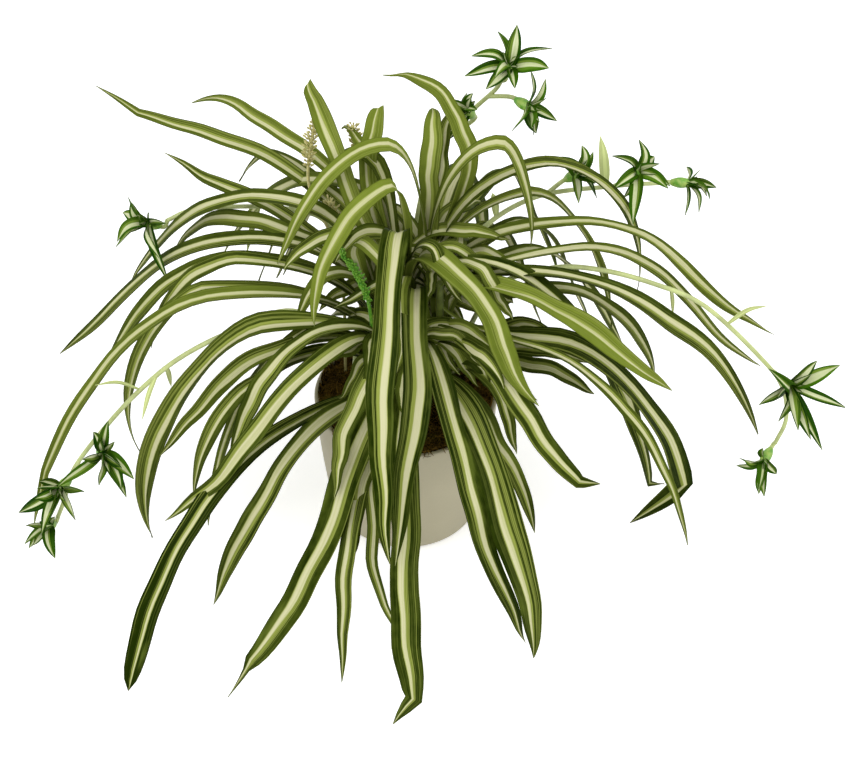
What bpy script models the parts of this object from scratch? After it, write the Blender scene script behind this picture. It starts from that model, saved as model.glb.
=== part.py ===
"""Potted spider plant: a small pot of soil and moss with leafy stems, runners and plantlets.

Metres, +Z up, with the origin at the middle of the pot's foot and the plant's front
towards -Y. Lengths in the tables are in millimetres and angles in degrees, counted
anticlockwise from +X as seen from above.
"""
import math
import random
from collections import namedtuple

import bmesh
import bpy
from mathutils import Matrix, Vector

MM = 0.001
GAP = 0.3            # clearance kept between pieces that touch

# Pot, soil and moss
POT_HEIGHT = 100.0
RIM_RADIUS = 60.0
FOOT_RADIUS = 42.0
POT_WALL = 3.0
POT_FLOOR = 5.0
POT_SIDES = 30
# Height and radius up the pot's outside, from the turn of its foot to its lip.
BELLY = ((2.0, 46.5), (6.0, 49.0), (16.0, 51.5), (32.0, 54.0), (54.0, 56.5), (78.0, 58.6),
         (POT_HEIGHT - 1.0, RIM_RADIUS))
LIP = 0.8            # rounding of the rim
SOIL_TOP = 88.0
MOSS_EDGE = 98.0     # height of the moss mat at the pot's wall
MOSS_MIDDLE = 103.0  # and at its middle
MOSS_RINGS = 3
MOSS_LUMP = 1.2      # how far its lumps stand up
MOSS_WAVES = ((5, 9, 0.0), (8, -14, 1.3), (3, 21, 0.0))  # waves round, waves out, start

# Leafy stems
STEM_FOOT = 60.0     # height of the bottom of the holes that the stems stand in
HOLE_TOP = 112.0     # a hole's cutter ends above the moss
HOLE_SIDES = 8
HOLE_ROOM = 1.0      # how much wider a hole is than its stem, on the radius
STEM_RADIUS = 4.5
STEM_SIDES = 6
STEM_TAPER = 0.7
BLADE_ROOM = 8.0     # bare stem above the highest blade
BLADE_THICK = 0.8
BLADE_STATIONS = 8
BLADE_BASE = 0.32    # width at the root as a share of the full width
BLADE_FULL = 0.38    # share of the length where a blade is at its full width
TIP_WIDTH = 0.8
CURVE_STEPS = 24     # steps along a smooth curve before it is read at even spacing
LINE_STEPS = 12
BLADE_FOLD = 0.22    # depth of the channel at the root as a share of the width
BLADE_OPEN = 0.75    # how much of that depth is gone past the middle
BLADE_END = 6        # the higher, the later a blade narrows to its point
FACE_TURN = 48.0     # how far a falling blade turns its upper face to the front
FLAT_WIDTH = 13.0    # blades narrower than this have no channel
FLAT_ENOUGH = math.radians(0.7)  # edges between faces flatter than this are dissolved
FLOOR_CLEAR = 1.5    # the lowest that a plantlet's blades hang

# Handles of a blade's two curves: shares of the way out and of the way up or down
RISE_OUT = 0.15
RISE_UP = 0.75
CREST_BEFORE = 0.55
CREST_AFTER = 0.45
TIP_BEFORE = 0.4

# Runners and their plantlets
RUNNER_RADIUS = 1.8
RUNNER_SIDES = 6
BUD_RADIUS = 4.0
BUD_LENGTH = 13.0
BUD_SIDES = 6
BUD_SHAPE = ((0.85, 0.0), (1.0, 0.4), (0.8, 0.8))  # shares of its radius and length
BUD_SOCKET = 8.0     # depth of the hole that takes the spur
SOCKET_RADIUS = RUNNER_RADIUS + 0.7
SPUR_LEAD = 4.0      # straight length of a spur before its bud
PLANTLET_WIDTH = 7.5
PLANTLET_REACH = (25.0, 34.0)
PLANTLET_SPREAD = (38, 64, 86)
PLANTLET_STATIONS = 3
PLANTLET_UNEVEN = 8  # how far a blade's lean may differ from its ring's
BRACT_STATIONS = 4

# Flower spikes
SPIKE_STALK = 1.1
SPIKE_RADIUS = 5.0
SPIKE_FLORETS = 11
FLORET_RADIUS = 1.5
FLORET_SIDES = 3
FLORET_RISE = 0.9
SPIKE_STEPS = 200
GOLDEN_TURN = math.radians(137.5)

Leaf = namedtuple("Leaf", "heading crest tip width bow fall", defaults=(0, 65))
Stem = namedtuple("Stem", "x y top lowest leaves")
Runner = namedtuple("Runner", "route bracts")
Plantlet = namedtuple("Plantlet", "runner at facing off leaves size")
Spike = namedtuple("Spike", "route length")

# crest: how far out and how high the blade's highest point is; tip: the same for its end;
# bow: how far its middle swings to the right, seen from the stem; fall: slope at the tip.
STEMS = {
    "leafy_stem_back_left": Stem(-6, 26, 198, 150, (
        Leaf(148, (175, 231), (238, 222), 10, 8, 10),
        Leaf(138, (130, 245), (183, 225), 10, 0, 35),
        Leaf(134, (90, 216), (155, 168), 9),
        Leaf(143, (20, 236), (150, 122), 14),
        Leaf(134, (64, 290), (80, 298), 12, -24, -60),
        Leaf(126, (50, 262), (60, 258), 11),
        Leaf(103, (34, 290), (38, 293), 12, -14, -60),
        Leaf(128, (60, 200), (165, 60), 12),
        Leaf(147, (20, 266), (98, 128), 12),
        Leaf(119, (60, 186), (175, 50), 12),
    )),
    "leafy_stem_left": Stem(-18, 9, 186, 135, (
        Leaf(145, (140, 213), (170, 217), 10, 0, -5),
        Leaf(156, (52, 233), (184, 122), 12),
        Leaf(153, (75, 208), (155, 151), 12),
        Leaf(163, (58, 206), (232, 64), 13, 0, 50),
        Leaf(172, (80, 198), (188, 82), 12, 0, 70),
        Leaf(177, (85, 202), (149, 124), 11, 0, 80),
        Leaf(190, (100, 190), (238, 8), 11, 0, 75),
        Leaf(181, (108, 186), (161, 34), 12, 0, 112),
        Leaf(300, (14, 236), (39, 205), 11, 16, 85),
    )),
    "leafy_stem_front_left": Stem(-13, -12, 168, 110, (
        Leaf(190, (74, 180), (160, 8), 19, 0, 102),
        Leaf(195, (45, 168), (150, 90), 13, 0, 50),
        Leaf(191, (38, 176), (122, 10), 9, 0, 85),
        Leaf(199, (55, 160), (132, 60), 12, 0, 88),
        Leaf(216, (30, 172), (168, 92), 14, -4, 15),
        Leaf(205, (45, 180), (110, 94), 13, 0, 75),
        Leaf(226, (50, 120), (230, 8), 14, 20, 60),
        Leaf(220, (45, 122), (146, 9), 15, -6, 70),
    )),
    "leafy_stem_front": Stem(0, -20, 160, 112, (
        Leaf(234, (20, 150), (196, 8), 19, -18, 26),
        Leaf(256, (28, 124), (155, 8), 11, 9, 70),
        Leaf(270, (35, 138), (124, 8), 8, 22, 60),
        Leaf(251, (40, 132), (116, 58), 11, 0, 60),
        Leaf(273, (34, 142), (188, 8), 19, 6, 45),
        Leaf(243, (40, 172), (100, 112), 13, 0, 60),
    )),
    "leafy_stem_middle": Stem(2, 3, 214, 165, (
        Leaf(267, (20, 246), (163, 106), 17, 9, 80),
        Leaf(266, (28, 204), (150, 92), 17, -9, 75),
        Leaf(210, (12, 273), (68, 188), 12, 0, 92),
        Leaf(322, (18, 223), (104, 146), 17, 0, 42),
    )),
    "leafy_stem_front_right": Stem(14, -14, 172, 120, (
        Leaf(296, (26, 170), (138, 8), 15, 18, 78),
        Leaf(297, (34, 142), (150, 8), 21, 0, 85),
        Leaf(323, (14, 174), (138, 98), 16, 0, 15),
        Leaf(310, (28, 140), (105, 64), 12, 0, 70),
    )),
    "leafy_stem_right": Stem(20, 8, 200, 160, (
        Leaf(354, (22, 208), (147, 10), 16, 0, 85),
        Leaf(1, (50, 196), (217, 52), 14, 0, 72),
        Leaf(12, (90, 200), (226, 74), 10, 0, 40),
        Leaf(10, (66, 172), (150, 76), 12, 0, 85),
    )),
    "leafy_stem_right_front": Stem(22, -6, 200, 112, (
        Leaf(350, (8, 203), (150, 132), 15, 0, 40),
        Leaf(352, (72, 160), (168, 30), 18, 0, 95),
        Leaf(340, (62, 166), (174, 24), 8, 0, 80),
        Leaf(358, (50, 146), (95, 134), 12, 0, 20),
        Leaf(5, (38, 130), (102, 98), 12, 0, 45),
        Leaf(20, (48, 146), (82, 128), 11, 0, 45),
        Leaf(332, (40, 146), (78, 84), 11, 0, 75),
        Leaf(318, (34, 146), (66, 92), 10, 0, 80),
    )),
    "leafy_stem_back": Stem(14, 28, 204, 140, (
        Leaf(114, (58, 292), (70, 289), 12, 34, 0),
        Leaf(86, (44, 274), (50, 272), 13, 0, 20),
        Leaf(74, (56, 264), (62, 260), 13, 0, 60),
        Leaf(4, (44, 282), (66, 196), 11, 0, 95),
        Leaf(192, (28, 287), (96, 203), 12, 0, 70),
        Leaf(18, (76, 250), (148, 124), 10, 0, 102),
        Leaf(22, (70, 246), (147, 180), 9),
        Leaf(8, (90, 212), (238, 94), 10.5, 0, 35),
        Leaf(20, (64, 226), (133, 94), 9, 0, 85),
        Leaf(60, (80, 196), (190, 40), 13),
        Leaf(78, (75, 192), (205, 30), 14),
        Leaf(88, (80, 190), (195, 50), 13),
        Leaf(41, (70, 180), (160, 35), 12),
        Leaf(52, (56, 176), (140, 30), 12),
        Leaf(28, (66, 170), (160, 40), 12),
    )),
}

# route: points of the stalk from its foot in the soil to its end in the last plantlet;
# bracts: share of the route, heading, rise, length and width of each.
RUNNERS = {
    "runner_right_high": Runner(
        ((30, 24), (30, 32, 160), (46, 46, 196), (84, 72, 206), (138, 99, 194), (172, 114, 185)),
        ((0.55, 95, 20, 24, 5), (0.84, 98, 56, 42, 7))),
    "runner_right_low": Runner(
        ((40, 16), (42, 20, 140), (62, 28, 170), (95, 32, 180), (125, 30, 180), (160, 28, 170),
         (195, 26, 152), (236, 20, 110), (251, 16, 88), (255, 12, 64), (249, 7, 47)),
        ((0.6, 60, -70, 24, 3), (0.72, 20, 30, 32, 4))),
    "runner_left_low": Runner(
        ((-34, -4), (-35, -5, 150), (-72, -10, 180), (-113, -16, 166), (-142, -20, 150),
         (-164, -23, 131), (-189, -27, 103), (-217, -34, 65), (-226, -40, 40), (-231, -43, 28)),
        ((0.62, 90, -60, 26, 3.5), (0.68, 195, 35, 34, 3.5), (0.64, 240, -40, 26, 3.5))),
    "runner_left_high": Runner(
        ((-18, 42), (-20, 44, 150), (-50, 68, 186), (-70, 74, 193), (-98, 75, 196),
         (-138, 78, 191), (-156, 73, 186)),
        ((0.75, 250, -30, 28, 4),)),
    "runner_top": Runner(
        ((4, 46), (5, 52, 180), (14, 72, 225), (28, 92, 242), (44, 100, 256), (57, 98, 272),
         (61, 96, 281)),
        ()),
}
# at: the foot of the bud; facing: where its leaves point; off: the share of the runner that
# a spur leaves from; size: of its blades, 1 for the largest.
PLANTLETS = {
    "plantlet_right_high_1": Plantlet(
        "runner_right_high", (104, 84, 211), (0.5, -0.3, 0.6), 0.68, 6, 0.8),
    "plantlet_right_high_2": Plantlet(
        "runner_right_high", (146, 98, 201), (0.5, -0.3, 0.7), 0.86, 7, 0.85),
    "plantlet_right_high_3": Plantlet(
        "runner_right_high", (177, 116, 184), (0.9, -0.2, 0.1), 1, 6, 0.7),
    "plantlet_right_low_1": Plantlet(
        "runner_right_low", (250, 14, 98), (0.15, -0.75, 0.3), 0.84, 8, 1.25),
    "plantlet_right_low_2": Plantlet(
        "runner_right_low", (246, 5, 43), (-0.4, -0.7, -0.1), 1, 6, 0.7),
    "plantlet_left_low_1": Plantlet(
        "runner_left_low", (-199, -34, 82), (0.2, -0.6, 0.3), 0.82, 7, 1),
    "plantlet_left_low_2": Plantlet(
        "runner_left_low", (-219, -46, 66), (-0.3, -0.6, 0.1), 0.88, 8, 0.95),
    "plantlet_left_low_3": Plantlet(
        "runner_left_low", (-234, -46, 24), (-0.1, -0.5, 0.4), 1, 6, 0.8),
    "plantlet_left_high": Plantlet(
        "runner_left_high", (-161, 71, 183), (-0.5, -0.4, 0.5), 1, 7, 1.0),
    "plantlet_top_1": Plantlet(
        "runner_top", (64, 94, 286), (0.1, -0.3, 0.8), 1, 8, 0.95),
    "plantlet_top_2": Plantlet(
        "runner_top", (70, 88, 272), (0.6, -0.6, 0.0), 0.93, 6, 0.8),
    "plantlet_top_3": Plantlet(
        "runner_top", (43, 90, 257), (-0.3, -0.5, 0.8), 0.78, 7, 0.6),
}
SPIKES = {
    "flower_spike_1": Spike(((-26, 28), (-30, 32, 150), (-48, 42, 200), (-61, 49, 236),
                             (-56, 53, 280)), 34),
    "flower_spike_2": Spike(((-4, 52), (-8, 56, 160), (-22, 66, 215), (-29, 70, 240),
                             (-33, 71, 264)), 22),
    "flower_spike_3": Spike(((-40, 22), (-40, 30, 150), (-42, 35, 200), (-48, 37, 230)), 24),
}


def vec(x, y, z):
    """A point given in millimetres."""
    return Vector((x * MM, y * MM, z * MM))


def smooth(a, b, value):
    """0 up to a, 1 from b on, and a soft step between."""
    t = min(1.0, max(0.0, (value - a) / (b - a)))
    return t * t * (3 - 2 * t)


def bezier(p0, p1, p2, p3, t):
    """A point of a cubic curve."""
    s = 1 - t
    return p0 * s ** 3 + p1 * (3 * s * s * t) + p2 * (3 * s * t * t) + p3 * t ** 3


def evenly(points, count):
    """Points at even spacing along a line of many points."""
    lengths = [0.0]
    for a, b in zip(points, points[1:]):
        lengths.append(lengths[-1] + (b - a).length)
    spaced = []
    j = 0
    for i in range(count):
        want = lengths[-1] * i / (count - 1)
        while j < len(points) - 2 and lengths[j + 1] < want:
            j += 1
        step = lengths[j + 1] - lengths[j]
        spaced.append(points[j].lerp(points[j + 1], (want - lengths[j]) / step))
    return spaced


def blade_path(leaf, foot, count=BLADE_STATIONS):
    """Centre line of a blade that climbs from its foot to its crest and falls to its tip."""
    turn = math.radians(leaf.heading)
    away = Vector((math.cos(turn), math.sin(turn), 0))
    right = Vector((math.sin(turn), -math.cos(turn), 0))
    out, high = leaf.crest
    far, low = leaf.tip
    start = Vector((0, foot.z / MM))
    crest = Vector((out, high))
    tip = Vector((far, low))
    rise = (start, Vector((RISE_OUT * out, start.y + RISE_UP * (high - start.y))),
            Vector((CREST_BEFORE * out, high)), crest)
    slope = math.radians(leaf.fall)
    chord = (tip - crest).length
    drop = (crest, Vector((out + CREST_AFTER * (far - out), high)),
            tip - TIP_BEFORE * chord * Vector((math.cos(slope), -math.sin(slope))), tip)
    fine = [bezier(*curve, i / CURVE_STEPS) for curve in (rise, drop) for i in range(CURVE_STEPS)]
    flat = evenly([p.to_3d() for p in fine + [tip]], count)
    path = []
    for i, p in enumerate(flat):
        t = i / (count - 1)
        swing = leaf.bow * 4 * t * (1 - t)
        path.append(Vector((foot.x, foot.y, 0)) + (away * p.x + right * swing) * MM
                    + Vector((0, 0, p.y * MM)))
    return path, right


def blade_width(t, width):
    """Width of a strap-like blade: narrow at its root, full past a third, pointed."""
    base = BLADE_BASE + (1 - BLADE_BASE) * smooth(0.0, BLADE_FULL, t)
    return max(TIP_WIDTH, width * base * (1 - t ** BLADE_END))


def blade(name, path, right, width, twist=0.0, flat=False):
    """A closed strap of even thickness that may twist as it falls, with a shallow channel
    along it unless it is flat."""
    mesh = bmesh.new()
    rings = []
    last = len(path) - 1
    for i, p in enumerate(path):
        t = i / last
        along = (path[min(i + 1, last)] - path[max(i - 1, 0)]).normalized()
        side = (right - along * right.dot(along)).normalized()
        side = Matrix.Rotation(math.radians(twist * smooth(0.3, 0.85, t)), 3, along) @ side
        up = side.cross(along)
        half = blade_width(t, width) / 2 * MM
        lift = half * 2 * BLADE_FOLD * (1 - BLADE_OPEN * smooth(0.1, 0.7, t))
        body = up * BLADE_THICK / 2 * MM
        ends = [p - side * half, p + side * half]
        if not flat:
            ends = [ends[0] + up * lift, p, ends[1] + up * lift]
        rings.append([mesh.verts.new(q + body) for q in ends]
                     + [mesh.verts.new(q - body) for q in reversed(ends)])
    count = len(rings[0])
    top = count // 2 - 1
    for a, b in zip(rings, rings[1:]):
        for k in range(count):
            n = (k + 1) % count
            if k < top:
                mesh.faces.new((a[k], a[n], b[n]))
                mesh.faces.new((a[k], b[n], b[k]))
            else:
                mesh.faces.new((a[k], a[n], b[k]))
                mesh.faces.new((a[n], b[n], b[k]))
    for ring, order in ((rings[0], -1), (rings[-1], 1)):
        for k in range(top):
            corners = (ring[k], ring[k + 1], ring[count - 2 - k], ring[count - 1 - k])
            mesh.faces.new(corners[::order])
    return finished(mesh, name)


def finished(mesh, name):
    """Turn a bmesh into an object with its faces pointing out."""
    bmesh.ops.recalc_face_normals(mesh, faces=mesh.faces)
    data = bpy.data.meshes.new(name)
    mesh.to_mesh(data)
    mesh.free()
    item = bpy.data.objects.new(name, data)
    bpy.context.scene.collection.objects.link(item)
    return item


def tube(name, points, radius, sides, end_radius=None):
    """A closed round stalk along points, tapering to its end."""
    mesh = bmesh.new()
    last = len(points) - 1
    end_radius = radius if end_radius is None else end_radius
    rings = []
    side = Vector((1, 0, 0))
    for i, p in enumerate(points):
        along = (points[min(i + 1, last)] - points[max(i - 1, 0)]).normalized()
        side = (side - along * side.dot(along)).normalized()
        other = along.cross(side)
        r = (radius + (end_radius - radius) * i / last) * MM
        rings.append([mesh.verts.new(p + (side * math.cos(a) + other * math.sin(a)) * r)
                      for a in (2 * math.pi * k / sides for k in range(sides))])
    for a, b in zip(rings, rings[1:]):
        for k in range(sides):
            n = (k + 1) % sides
            mesh.faces.new((a[k], a[n], b[n], b[k]))
    mesh.faces.new(rings[0][::-1])
    mesh.faces.new(rings[-1])
    return finished(mesh, name)


def turned(name, profile, sides):
    """Spin a profile of radius and height about the Z axis."""
    mesh = bmesh.new()
    verts = [mesh.verts.new(vec(r, 0, z)) for r, z in profile]
    edges = [mesh.edges.new(pair) for pair in zip(verts, verts[1:])]
    bmesh.ops.spin(mesh, geom=verts + edges, cent=(0, 0, 0), axis=(0, 0, 1),
                   angle=2 * math.pi, steps=sides, use_merge=True)
    bmesh.ops.remove_doubles(mesh, verts=mesh.verts, dist=1e-6)
    return finished(mesh, name)


def combine(item, parts, operation="UNION", solver="EXACT"):
    """Join parts to an item, or cut them from it, in one Boolean, and remove them."""
    group = bpy.data.collections.new(item.name + "_parts")
    for part in parts:
        group.objects.link(part)
    cut = item.modifiers.new(operation.lower(), "BOOLEAN")
    cut.operation = operation
    cut.operand_type = "COLLECTION"
    cut.collection = group
    cut.solver = solver
    bpy.context.view_layer.update()
    graph = bpy.context.evaluated_depsgraph_get()
    data = bpy.data.meshes.new_from_object(item.evaluated_get(graph))
    item.modifiers.clear()
    item.data = data
    for part in parts:
        bpy.data.objects.remove(part)
    bpy.data.collections.remove(group)
    drop_scraps(data)
    return item


def drop_scraps(data):
    """Keep a mesh's largest shell, without sealed hollows, scraps and needless edges."""
    mesh = bmesh.new()
    mesh.from_mesh(data)
    shells = []
    seen = set()
    for start in mesh.verts:
        if start in seen:
            continue
        shell, queue = [], [start]
        seen.add(start)
        while queue:
            vert = queue.pop()
            shell.append(vert)
            for edge in vert.link_edges:
                other = edge.other_vert(vert)
                if other not in seen:
                    seen.add(other)
                    queue.append(other)
        shells.append(shell)
    largest = max(shells, key=len)
    bmesh.ops.delete(mesh, geom=[v for shell in shells if shell is not largest for v in shell],
                     context="VERTS")
    bmesh.ops.dissolve_limit(mesh, angle_limit=FLAT_ENOUGH, verts=mesh.verts, edges=mesh.edges)
    bmesh.ops.triangulate(mesh, faces=mesh.faces)
    mesh.to_mesh(data)
    mesh.free()


def catmull(points, count):
    """A smooth line through points, read at even spacing."""
    ends = [2 * points[0] - points[1]] + list(points) + [2 * points[-1] - points[-2]]
    fine = []
    for a, b, c, d in zip(ends, ends[1:], ends[2:], ends[3:]):
        for k in range(LINE_STEPS):
            t = k / LINE_STEPS
            fine.append(0.5 * (2 * b + (c - a) * t + (2 * a - 5 * b + 4 * c - d) * t * t
                               + (3 * b - a - 3 * c + d) * t ** 3))
    fine.append(points[-1])
    return evenly(fine, count)


def blade_foot(stem, leaf):
    """Where a blade grows from its stem: low ones hang, high ones stand up."""
    heights = sorted(other.crest[1] for other in stem.leaves)
    share = heights.index(leaf.crest[1]) / max(1, len(heights) - 1)
    return vec(stem.x, stem.y, stem.lowest + (stem.top - BLADE_ROOM - stem.lowest) * share)


def stem_blades(name, stem):
    """Blades of one leafy stem, set up it from its lowest leaf to its top."""
    blades = []
    for i, leaf in enumerate(stem.leaves, 1):
        path, right = blade_path(leaf, blade_foot(stem, leaf))
        twist = FACE_TURN * math.cos(math.radians(leaf.heading))
        blades.append(blade("%s_blade_%d" % (name, i), path, right, leaf.width, twist,
                            flat=leaf.width < FLAT_WIDTH))
    return blades


def stem_core(name, stem):
    """The bare stalk that carries a leafy stem's blades."""
    return tube(name, [vec(stem.x, stem.y, STEM_FOOT + GAP), vec(stem.x, stem.y, stem.top)],
                STEM_RADIUS, STEM_SIDES, STEM_RADIUS * STEM_TAPER)


def route_line(route, count=None):
    """A smooth line along a route, upright from the bottom of its hole to above the moss."""
    x, y = route[0]
    points = [vec(x, y, STEM_FOOT + GAP), vec(x, y, HOLE_TOP)] + [vec(*p) for p in route[1:]]
    return catmull(points, count or 2 * len(points) + 2)


def runner_parts(name, runner):
    """Bracts of a runner and the spurs that carry its plantlets."""
    line = route_line(runner.route)
    parts = []
    for i, (share, heading, rise, length, width) in enumerate(runner.bracts):
        start = line[round(share * (len(line) - 1))]
        turn, climb = math.radians(heading), math.radians(rise)
        away = Vector((math.cos(turn), math.sin(turn), 0)) * math.cos(climb)
        away.z = math.sin(climb)
        right = Vector((math.sin(turn), -math.cos(turn), 0))
        ends = [start, start + away * length * 0.5 * MM,
                start + (away - Vector((0, 0, 0.25))) * length * MM]
        parts.append(blade("%s_bract_%d" % (name, i), catmull(ends, BRACT_STATIONS), right,
                           width, flat=True))
    for plantlet_name, plantlet in PLANTLETS.items():
        if plantlet.runner == name:
            start = line[round(plantlet.off * (len(line) - 1))]
            facing = Vector(plantlet.facing).normalized()
            foot = vec(*plantlet.at)
            inside = foot + facing * (BUD_SOCKET - 1) * MM
            points = [start, foot - facing * SPUR_LEAD * MM, inside]
            parts.append(tube(plantlet_name + "_spur", points, RUNNER_RADIUS * 0.9, RUNNER_SIDES))
    return parts


def runner_piece(name, runner):
    """A runner from the soil to its last plantlet, with its bracts and spurs fused to it."""
    return combine(tube(name, route_line(runner.route), RUNNER_RADIUS, RUNNER_SIDES),
                   runner_parts(name, runner))


def plantlet_piece(name, plantlet):
    """A bud with a socket for its spur, and a tuft of short blades fused round its end."""
    draw = random.Random(name)
    bud = turned(name, ((0, BUD_SOCKET), (SOCKET_RADIUS, BUD_SOCKET), (SOCKET_RADIUS, 0),
                        *((BUD_RADIUS * r, BUD_LENGTH * z) for r, z in BUD_SHAPE),
                        (0, BUD_LENGTH)), BUD_SIDES)
    facing = Vector(plantlet.facing).normalized()
    turned_to = facing.to_track_quat("Z", "Y").to_matrix().to_4x4()
    place = Matrix.Translation(vec(*plantlet.at)) @ turned_to
    bud.data.transform(place)
    blades = []
    for k in range(plantlet.leaves):
        turn = 2 * math.pi * (k + draw.uniform(-0.25, 0.25)) / plantlet.leaves
        spread = PLANTLET_SPREAD[k % 3] + draw.uniform(-PLANTLET_UNEVEN, PLANTLET_UNEVEN)
        length = draw.uniform(*PLANTLET_REACH) * plantlet.size
        lean = math.radians(spread)
        out = Vector((math.cos(turn), math.sin(turn), 0))
        rise = Vector((0, 0, 1))
        root = rise * (BUD_SOCKET + 2.0)
        way = out * math.sin(lean) + rise * math.cos(lean)
        points = [root, root + way * length * 0.55,
                  root + way * length * 0.95 + out * length * 0.06]
        path = [place @ (p * MM) for p in catmull(points, PLANTLET_STATIONS)]
        path = [Vector((p.x, p.y, max(p.z, FLOOR_CLEAR * MM))) for p in path]
        right = place.to_3x3() @ Vector((out.y, -out.x, 0))
        blades.append(blade("%s_blade_%d" % (name, k + 1), path, right, PLANTLET_WIDTH, flat=True))
    return combine(bud, blades)


def spike_piece(name, spike):
    """A thin stalk that ends in a dense head of small florets, fused to it."""
    stalk = tube(name, route_line(spike.route), SPIKE_STALK, RUNNER_SIDES)
    fine = route_line(spike.route, SPIKE_STEPS)
    head = fine[-1]
    florets = []
    for k in range(SPIKE_FLORETS):
        share = k / SPIKE_FLORETS
        want = spike.length * (1 - share) * MM
        middle = next(p for p in reversed(fine) if (p - head).length >= want or p is fine[0])
        turn = k * GOLDEN_TURN
        out = Vector((math.cos(turn), math.sin(turn), FLORET_RISE)).normalized()
        reach = SPIKE_RADIUS * (0.55 + 0.45 * math.sin(math.pi * (0.15 + 0.7 * share)))
        florets.append(tube("%s_floret_%d" % (name, k), [middle, middle + out * reach * MM],
                            FLORET_RADIUS, FLORET_SIDES, FLORET_RADIUS * 0.3))
    return combine(stalk, florets)


def wall_radius(z):
    """Radius of the pot's outside at a height."""
    for (low, a), (high, b) in zip(BELLY, BELLY[1:]):
        if z <= high:
            return a + (b - a) * (z - low) / (high - low)
    return BELLY[-1][1]


def pot():
    """The turned pot: a round foot, a full belly and a plain rim."""
    outside = [(0, 0), (FOOT_RADIUS, 0)] + [(r, z) for z, r in BELLY]
    lip = [(RIM_RADIUS - LIP, POT_HEIGHT), (RIM_RADIUS - POT_WALL + LIP, POT_HEIGHT)]
    inside = [(r - POT_WALL, z) for z, r in reversed(BELLY[1:])]
    bottom = [(FOOT_RADIUS, POT_FLOOR), (0, POT_FLOOR)]
    return turned("pot", outside + lip + inside + bottom, POT_SIDES)


def holes():
    """Cutters for the plain holes that stems, runners and flower stalks stand in."""
    feet = [(stem.x, stem.y, STEM_RADIUS) for stem in STEMS.values()]
    feet += [(*runner.route[0], RUNNER_RADIUS) for runner in RUNNERS.values()]
    feet += [(*spike.route[0], SPIKE_STALK) for spike in SPIKES.values()]
    return [tube("hole", [vec(x, y, STEM_FOOT), vec(x, y, HOLE_TOP)], radius + HOLE_ROOM,
                 HOLE_SIDES if radius == STEM_RADIUS else RUNNER_SIDES) for x, y, radius in feet]


def soil():
    """The soil that fills the pot, clear of its wall, with a hole for each stem."""
    room = POT_WALL + 2 * GAP
    side = [(r - room, z + GAP) for z, r in BELLY[1:-1] if z < SOIL_TOP]
    body = turned("soil", [(0, POT_FLOOR + GAP), (FOOT_RADIUS - GAP, POT_FLOOR + GAP)] + side
                  + [(wall_radius(SOIL_TOP) - room, SOIL_TOP), (0, SOIL_TOP)], POT_SIDES)
    return combine(body, holes(), "DIFFERENCE")


def moss_height(r, turn, edge):
    """Top of the moss: a low dome with soft lumps that flatten towards its rim."""
    share = r / edge
    lumps = sum(math.sin(around * turn + out * share + start) for around, out, start in MOSS_WAVES)
    return (MOSS_MIDDLE + (MOSS_EDGE - MOSS_MIDDLE) * share ** 2
            + MOSS_LUMP * lumps / len(MOSS_WAVES) * share)


def moss():
    """The mat of moss on the soil, with the same holes as the soil."""
    mesh = bmesh.new()
    edge = wall_radius(MOSS_EDGE) - POT_WALL - 2 * GAP
    base = SOIL_TOP + GAP
    low_edge = wall_radius(base) - POT_WALL - 2 * GAP
    turns = [2 * math.pi * k / POT_SIDES for k in range(POT_SIDES)]
    rings = [[mesh.verts.new(vec(low_edge * math.cos(t), low_edge * math.sin(t), base))
              for t in turns]]
    for ring in range(MOSS_RINGS, 0, -1):
        r = edge * ring / MOSS_RINGS
        rings.append([mesh.verts.new(vec(r * math.cos(t), r * math.sin(t),
                                         moss_height(r, t, edge))) for t in turns])
    for a, b in zip(rings, rings[1:]):
        for k in range(POT_SIDES):
            n = (k + 1) % POT_SIDES
            mesh.faces.new((a[k], a[n], b[n]))
            mesh.faces.new((a[k], b[n], b[k]))
    top = mesh.verts.new(vec(0, 0, MOSS_MIDDLE))
    for k in range(POT_SIDES):
        mesh.faces.new((rings[-1][k], rings[-1][(k + 1) % POT_SIDES], top))
    mesh.faces.new(rings[0][::-1])
    return combine(finished(mesh, "moss"), holes(), "DIFFERENCE")


def leafy_stem(name, stem):
    """A short stem with its blades fused to it."""
    return combine(stem_core(name, stem), stem_blades(name, stem))


def paint(item, colour, roughness):
    """Give a piece its own material."""
    finish = bpy.data.materials.new(item.name)
    finish.use_nodes = True
    shader = finish.node_tree.nodes["Principled BSDF"]
    shader.inputs["Base Color"].default_value = (*colour, 1)
    shader.inputs["Roughness"].default_value = roughness
    shader.inputs["Metallic"].default_value = 0.0
    item.data.materials.clear()
    item.data.materials.append(finish)


def main():
    """Build every piece in its place."""
    for old in list(bpy.data.objects):
        bpy.data.objects.remove(old)
    body = pot()
    paint(body, (0.62, 0.58, 0.46), 0.45)
    body.data.shade_smooth()
    body.data.set_sharp_from_angle(angle=math.radians(40))
    paint(soil(), (0.03, 0.02, 0.014), 0.95)
    paint(moss(), (0.08, 0.06, 0.02), 0.95)
    for name, stem in STEMS.items():
        paint(leafy_stem(name, stem), (0.12, 0.21, 0.05), 0.4)
    for name, runner in RUNNERS.items():
        paint(runner_piece(name, runner), (0.55, 0.6, 0.25), 0.5)
    for name, plantlet in PLANTLETS.items():
        paint(plantlet_piece(name, plantlet), (0.07, 0.2, 0.06), 0.4)
    for name, spike in SPIKES.items():
        paint(spike_piece(name, spike), (0.45, 0.4, 0.22), 0.6)


if __name__ == "__main__":
    main()
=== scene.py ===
"""Finished looks of a potted spider plant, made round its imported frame.

Tables are in millimetres and degrees. Headings are counted anticlockwise from +X as seen from
above, and the plant's front faces -Y.
"""
import math
import random
from collections import namedtuple

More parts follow.
